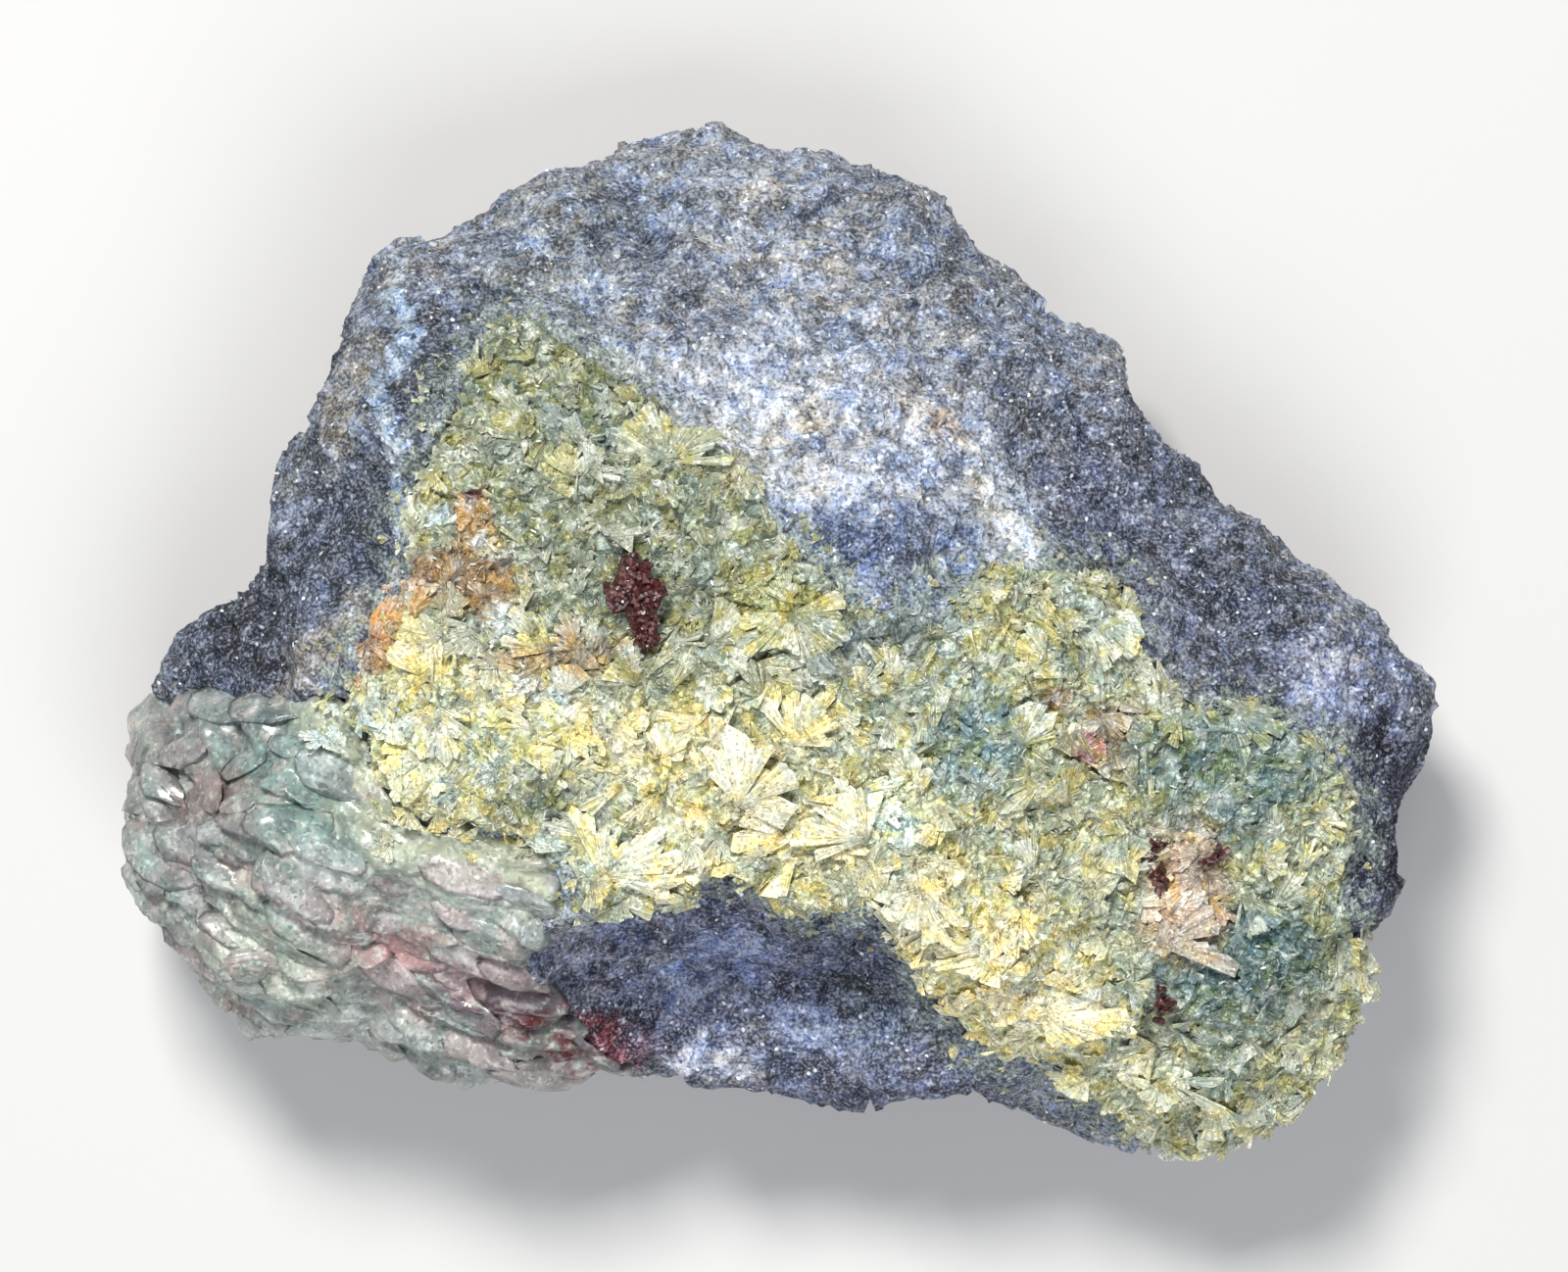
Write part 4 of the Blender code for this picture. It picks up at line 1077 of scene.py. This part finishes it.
# %% Planting the crust
GRANULAR_ZONES = [
    (30.8, -9.5, 6.5, 4.0),
    (31.0, -22.5, 6.0, 4.4),
    (12.6, -6.9, 2.6, 3.4),
    (6.6, 0.3, 4.6, 2.6),
    (10.5, 0.5, 4.0, 2.0),
    (-16.6, 19.5, 3.0, 3.0),
    (-9.9, 2.6, 3.0, 3.8),
]
RUTILE_PARTS = [(-9.5, 3.5, 1.3, 1.4), (-9.2, 1.0, 0.6, 1.6), (-11.1, 2.9, 0.6, 0.6)]
RUTILE_SPOTS = [(25.7, -25.2, 0.6, 1.6), (29.0, -15.3, 0.9, 0.8), (25.0, -14.5, 0.9, 0.7), (25.6, -16.6, 0.8, 0.7)]
FINE_ABOVE = 1.5
STAR_REACH = 0.55
FAN_REACH = 0.40
LARGE_STARS = [
    (-12.2, -16.0, 5.2),
    (-3.0, -11.2, 5.6),
    (0.8, -7.2, 4.6),
    (5.6, -13.5, 5.0),
    (14.6, -21.8, 6.0),
    (17.5, -25.6, 4.6),
    (9.2, -16.8, 4.6),
    (-23.5, -4.4, 4.4),
    (0.6, 1.6, 4.2),
    (20.6, 1.4, 4.4),
    (26.0, -30.2, 4.6),
    (25.5, -20.8, 4.4),
    (-7.6, 11.8, 4.0),
    (-17.2, 14.6, 3.8),
]


def in_ellipses(point, ellipses):
    return any(((point.x - x) / rx) ** 2 + ((point.y - y) / ry) ** 2 < 1 for x, y, rx, ry in ellipses)


def on_front(point, direction):
    return direction.z > 0.15 and not in_ellipses(point, RUTILE_PARTS + RUTILE_SPOTS)


def fan_ground(point, direction):
    return direction.z > 0.55 and not in_ellipses(point, GRANULAR_ZONES)


def upper_ground(point, direction):
    return point.y > FINE_ABOVE and fan_ground(point, direction)


def lower_ground(point, direction):
    return point.y <= FINE_ABOVE and fan_ground(point, direction)


def open_ground(point, direction):
    return direction.z > 0.6 and on_front(point, direction)


def steep_ground(point, direction):
    return direction.z > -0.2 and not fan_ground(point, direction)


def beside_crust(point, direction):
    """Near the crust's border, in ragged patches."""
    gap = distance(crust_tree, point) + 2.6 * noise.noise(point / 1.8)
    return direction.z > 0.1 and 0.0 < gap < 1.9


ground_tree = BVHTree.FromObject(crust_ground, bpy.context.evaluated_depsgraph_get())
star_places = []
for x, y, radius in LARGE_STARS:
    hit = ground_tree.ray_cast(Vector((x * MM, y * MM, 0.1)), Vector((0, 0, -1)))
    if hit[0] is not None:
        star_places.append((hit[0], (hit[1] + Vector((0, 0, 2))).normalized()))
plant(
    "large_stars", WIDE_FANS, star_places, (3.6, 5.0), 0.16, 0.20, plant_rng, blade_material,
    STAR_REACH,
)
lower_places = surface_places(crust_ground, 420, 1.6, plant_rng, lower_ground)
plant("fans", FANS, lower_places, (2.0, 3.4), 0.22, 0.14, plant_rng, blade_material, FAN_REACH)
upper_places = surface_places(crust_ground, 420, 1.15, plant_rng, upper_ground)
plant(
    "upper_fans", FANS, upper_places, (1.1, 2.2), 0.26, 0.08, plant_rng, blade_material,
    FAN_REACH,
)
edge_places = surface_places(crust_ground, 400, 1.0, plant_rng, steep_ground)
plant(
    "edge_fans", FANS, edge_places, (0.7, 1.5), 0.20, 0.05, plant_rng, blade_material,
    FAN_REACH,
)
tuft_places = surface_places(crust_ground, 1400, 0.75, plant_rng, on_front)
plant("tufts", TUFTS, tuft_places, (0.6, 1.2), 0.5, 0.0, plant_rng, blade_material)
border_places = surface_places(rock_piece, 900, 0.55, plant_rng, beside_crust)
plant("border_tufts", TUFTS, border_places, (0.4, 1.0), 0.5, 0.0, plant_rng, blade_material)
seam_places = surface_places(scaly_ground, 420, 0.7, plant_rng, beside_crust)
plant("seam_fans", FANS, seam_places, (0.7, 1.7), 0.22, 0.0, plant_rng, blade_material)
blade_places = surface_places(crust_ground, 420, 1.2, plant_rng, open_ground)
plant(
    "single_blades", SINGLE_BLADES, blade_places, (1.4, 3.2), 0.16, 0.3, plant_rng, blade_material,
    STAR_REACH,
)

# %% [markdown]
# ## Scales of the foliated mass
#
# At the lower left the mineral grew as sheets. They were bent and sheared, and what shows are their
# worn edges: rounded lenses that overlap like shingles, in wavy rows that fall from the upper left to
# the lower right. Each scale is a flattened sphere with a wavy rim. It lies along its row and leans
# outwards, so that it covers the next one.

# %% Unit scales
def unit_scale(rng):
    """A wavy lens of about unit half-length along X."""
    bm = bmesh.new()
    bmesh.ops.create_uvsphere(bm, u_segments=12, v_segments=6, radius=1.0)
    shift = Vector((rng.uniform(0, 9), rng.uniform(0, 9), 0.0))
    for vert in bm.verts:
        wave = noise.noise(vert.co * 1.1 + shift)
        vert.co.y *= 0.48 + 0.3 * wave
        vert.co.z = 0.13 * vert.co.z + 0.12 * wave + 0.06 * noise.noise(vert.co * 2.6 + shift)
        vert.co.x *= 1.0 + 0.25 * noise.noise(vert.co * 1.7 - shift)
    mesh = bpy.data.meshes.new("scale")
    bm.to_mesh(mesh)
    bm.free()
    mesh.shade_smooth()
    return mesh


scale_rng = random.Random(29)
SCALES = [unit_scale(scale_rng) for _ in range(14)]
ROW_DIRECTION = Vector((1.0, -0.36, 0.0)).normalized()


def lay_scales(name, places, sizes, rng, material):
    """Scales at the places: each lies along its row, and its outer side leans over the next row."""
    laid = []
    for spot, direction in places:
        row = Matrix.Rotation(rng.uniform(-0.35, 0.35), 3, "Z") @ ROW_DIRECTION
        up = (direction + Vector((0.25, 0.55, 0.35)) * rng.uniform(0.1, 0.45)).normalized()
        along = (row - up * row.dot(up)).normalized()
        frame_of_scale = Matrix((along, up.cross(along), up)).transposed().to_4x4()
        mesh = rng.choice(SCALES).copy()
        shade = mesh.attributes.new("shade", "FLOAT", "POINT")
        shade.data.foreach_set("value", [rng.random()] * len(mesh.vertices))
        size = rng.uniform(*sizes) * MM
        mesh.transform(Matrix.Translation(spot - direction * 0.07 * size) @ frame_of_scale @ Matrix.Scale(size, 4))
        settle(mesh, scaly_skin, SCALE_REACH)
        mesh.transform(Matrix.Translation(way_back_in(mesh)))
        holder = bpy.data.objects.new("laid", mesh)
        bpy.context.scene.collection.objects.link(holder)
        laid.append(holder)
    with bpy.context.temp_override(active_object=laid[0], selected_editable_objects=laid):
        bpy.ops.object.join()
    joined = bmesh.new()
    joined.from_mesh(laid[0].data)
    bpy.data.objects.remove(laid[0])
    return finish_piece(name, joined, material)


def scaly_front(point, direction):
    return direction.z > 0.35 and point.z > 7.0 and point.x < -15.0 and distance(crust_tree, point) > 3.0


SCALE_REACH = 0.45
scaly_skin = BVHTree.FromObject(scaly_ground, bpy.context.evaluated_depsgraph_get())
scale_places = surface_places(scaly_ground, 90, 2.6, scale_rng, scaly_front)
lay_scales("scales", scale_places, (1.8, 4.0), scale_rng, scaly_material)

# %% [markdown]
# ## Rutile crystals
#
# The dark red group in the middle of the crust is a heap of small stubby prisms. A prism with six
# sides and a slightly narrower end, repeated with random sizes and directions over the solid of the
# group, gives the faceted dark mass with its bright points. The single needle and grains get the same
# treatment with fewer crystals.

# %% Rutile
def faces_up(point, direction):
    return direction.z > -0.2


def in_dark_parts(point, direction):
    return faces_up(point, direction) and in_ellipses(point, RUTILE_PARTS)


def crystal_heap(name, node, count, sizes, rng, grows_at):
    """Small prisms that stand on a node's solid and replace it."""
    bm = solid_bmesh(node)
    faces = [face for face in bm.faces if grows_at(face.calc_center_median() / MM, face.normal)]
    areas = [face.calc_area() for face in faces]
    spots = []
    for face in rng.choices(faces, weights=areas, k=count):
        corners = [vert.co for vert in face.verts[:3]]
        shares = sorted((rng.random(), rng.random()))
        spot = corners[0] * shares[0] + corners[1] * (shares[1] - shares[0]) + corners[2] * (1 - shares[1])
        spots.append((spot, face.normal.copy()))
    push_out(bm, lambda point: -0.45)
    for spot, normal in spots:
        radius = rng.uniform(*sizes) * MM
        length = radius * rng.uniform(2.2, 4.0)
        prism = bmesh.ops.create_cone(
            bm, cap_ends=True, segments=6, radius1=radius, radius2=radius * rng.uniform(0.55, 0.9), depth=length
        )["verts"]
        lean = Vector((rng.uniform(-1, 1), rng.uniform(-1, 1), rng.uniform(-0.3, 0.8)))
        turn = (normal * 0.6 + lean).to_track_quat("Z", "Y").to_matrix().to_4x4()
        spin = Matrix.Rotation(rng.uniform(0, math.pi), 4, "Z")
        bmesh.ops.transform(bm, matrix=Matrix.Translation(spot) @ turn @ spin, verts=prism)
    keep_in_box(bm)
    return finish_piece(name, bm, rutile_material, [node])


rutile_rng = random.Random(41)
crystal_heap("rutile_group", "rutile_cluster", 240, (0.12, 0.30), rutile_rng, in_dark_parts)
crystal_heap("rutile_prism", "rutile_needle", 12, (0.16, 0.30), rutile_rng, faces_up)
for number in (1, 2, 3):
    crystal_heap(f"rutile_spot_{number}", f"rutile_grain_{number}", 9, (0.14, 0.28), rutile_rng, faces_up)

# %% [markdown]
# ## Glinting flakes
#
# All over the rock tiny flakes of mica and grain faces flash when they face the light. They are real
# plates here, hexagons a third of a millimetre wide, scattered flat on the surface with random tilts.

# %% Flakes
def make_flake_material(name, dull, bright):
    material, tree, shader = new_material(name)
    objects = add_node(tree, "TexCoord").outputs["Object"]
    tint = add_node(tree, "TexNoise", {"Vector": objects, "Scale": 900.0, "Detail": 1.0}).outputs["Fac"]
    colour = mix_colours(tree, ramp_between(tree, tint, 0.35, 0.65), dull, bright)
    tree.links.new(colour, shader["Base Color"])
    tree.links.new(ramp_between(tree, tint, 0.3, 0.7, 0.30, 0.14), shader["Roughness"])
    shader["Specular IOR Level"].default_value = 0.9
    return material


def unit_flake(rng, longest):
    bm = bmesh.new()
    bmesh.ops.create_cone(bm, cap_ends=True, segments=6, radius1=1.0, radius2=0.8, depth=0.22)
    stretch = Matrix.Diagonal((rng.uniform(0.6, 1.0) * longest, rng.uniform(0.5, 1.0), 1.0, 1.0))
    bmesh.ops.transform(bm, matrix=stretch, verts=bm.verts)
    mesh = bpy.data.meshes.new("flake")
    bm.to_mesh(mesh)
    bm.free()
    return mesh


flake_rng = random.Random(53)
FLAKES = [unit_flake(flake_rng, 1.3) for _ in range(6)]
SLIVERS = [unit_flake(flake_rng, 2.6) for _ in range(6)]
flake_material = make_flake_material("mica_flakes", (0.50, 0.55, 0.62), (0.86, 0.90, 0.92))
# Painted highlight: the crust slivers are near white, standing in for the white glint streaks on the blades, on top of
# their own gloss.
sliver_material = make_flake_material("pearly_slivers", (0.54, 0.55, 0.43), (0.92, 0.92, 0.84))
rock_flakes = surface_places(rock_piece, 2200, 0.5, flake_rng, lambda point, direction: point.z > 3.0)
plant("rock_flakes", FLAKES, rock_flakes, (0.10, 0.19), 0.8, 0.05, flake_rng, flake_material)
crust_flakes = surface_places(crust_ground, 2000, 0.4, flake_rng, on_front)
plant("crust_flakes", SLIVERS, crust_flakes, (0.06, 0.13), 0.6, 0.20, flake_rng, sliver_material)
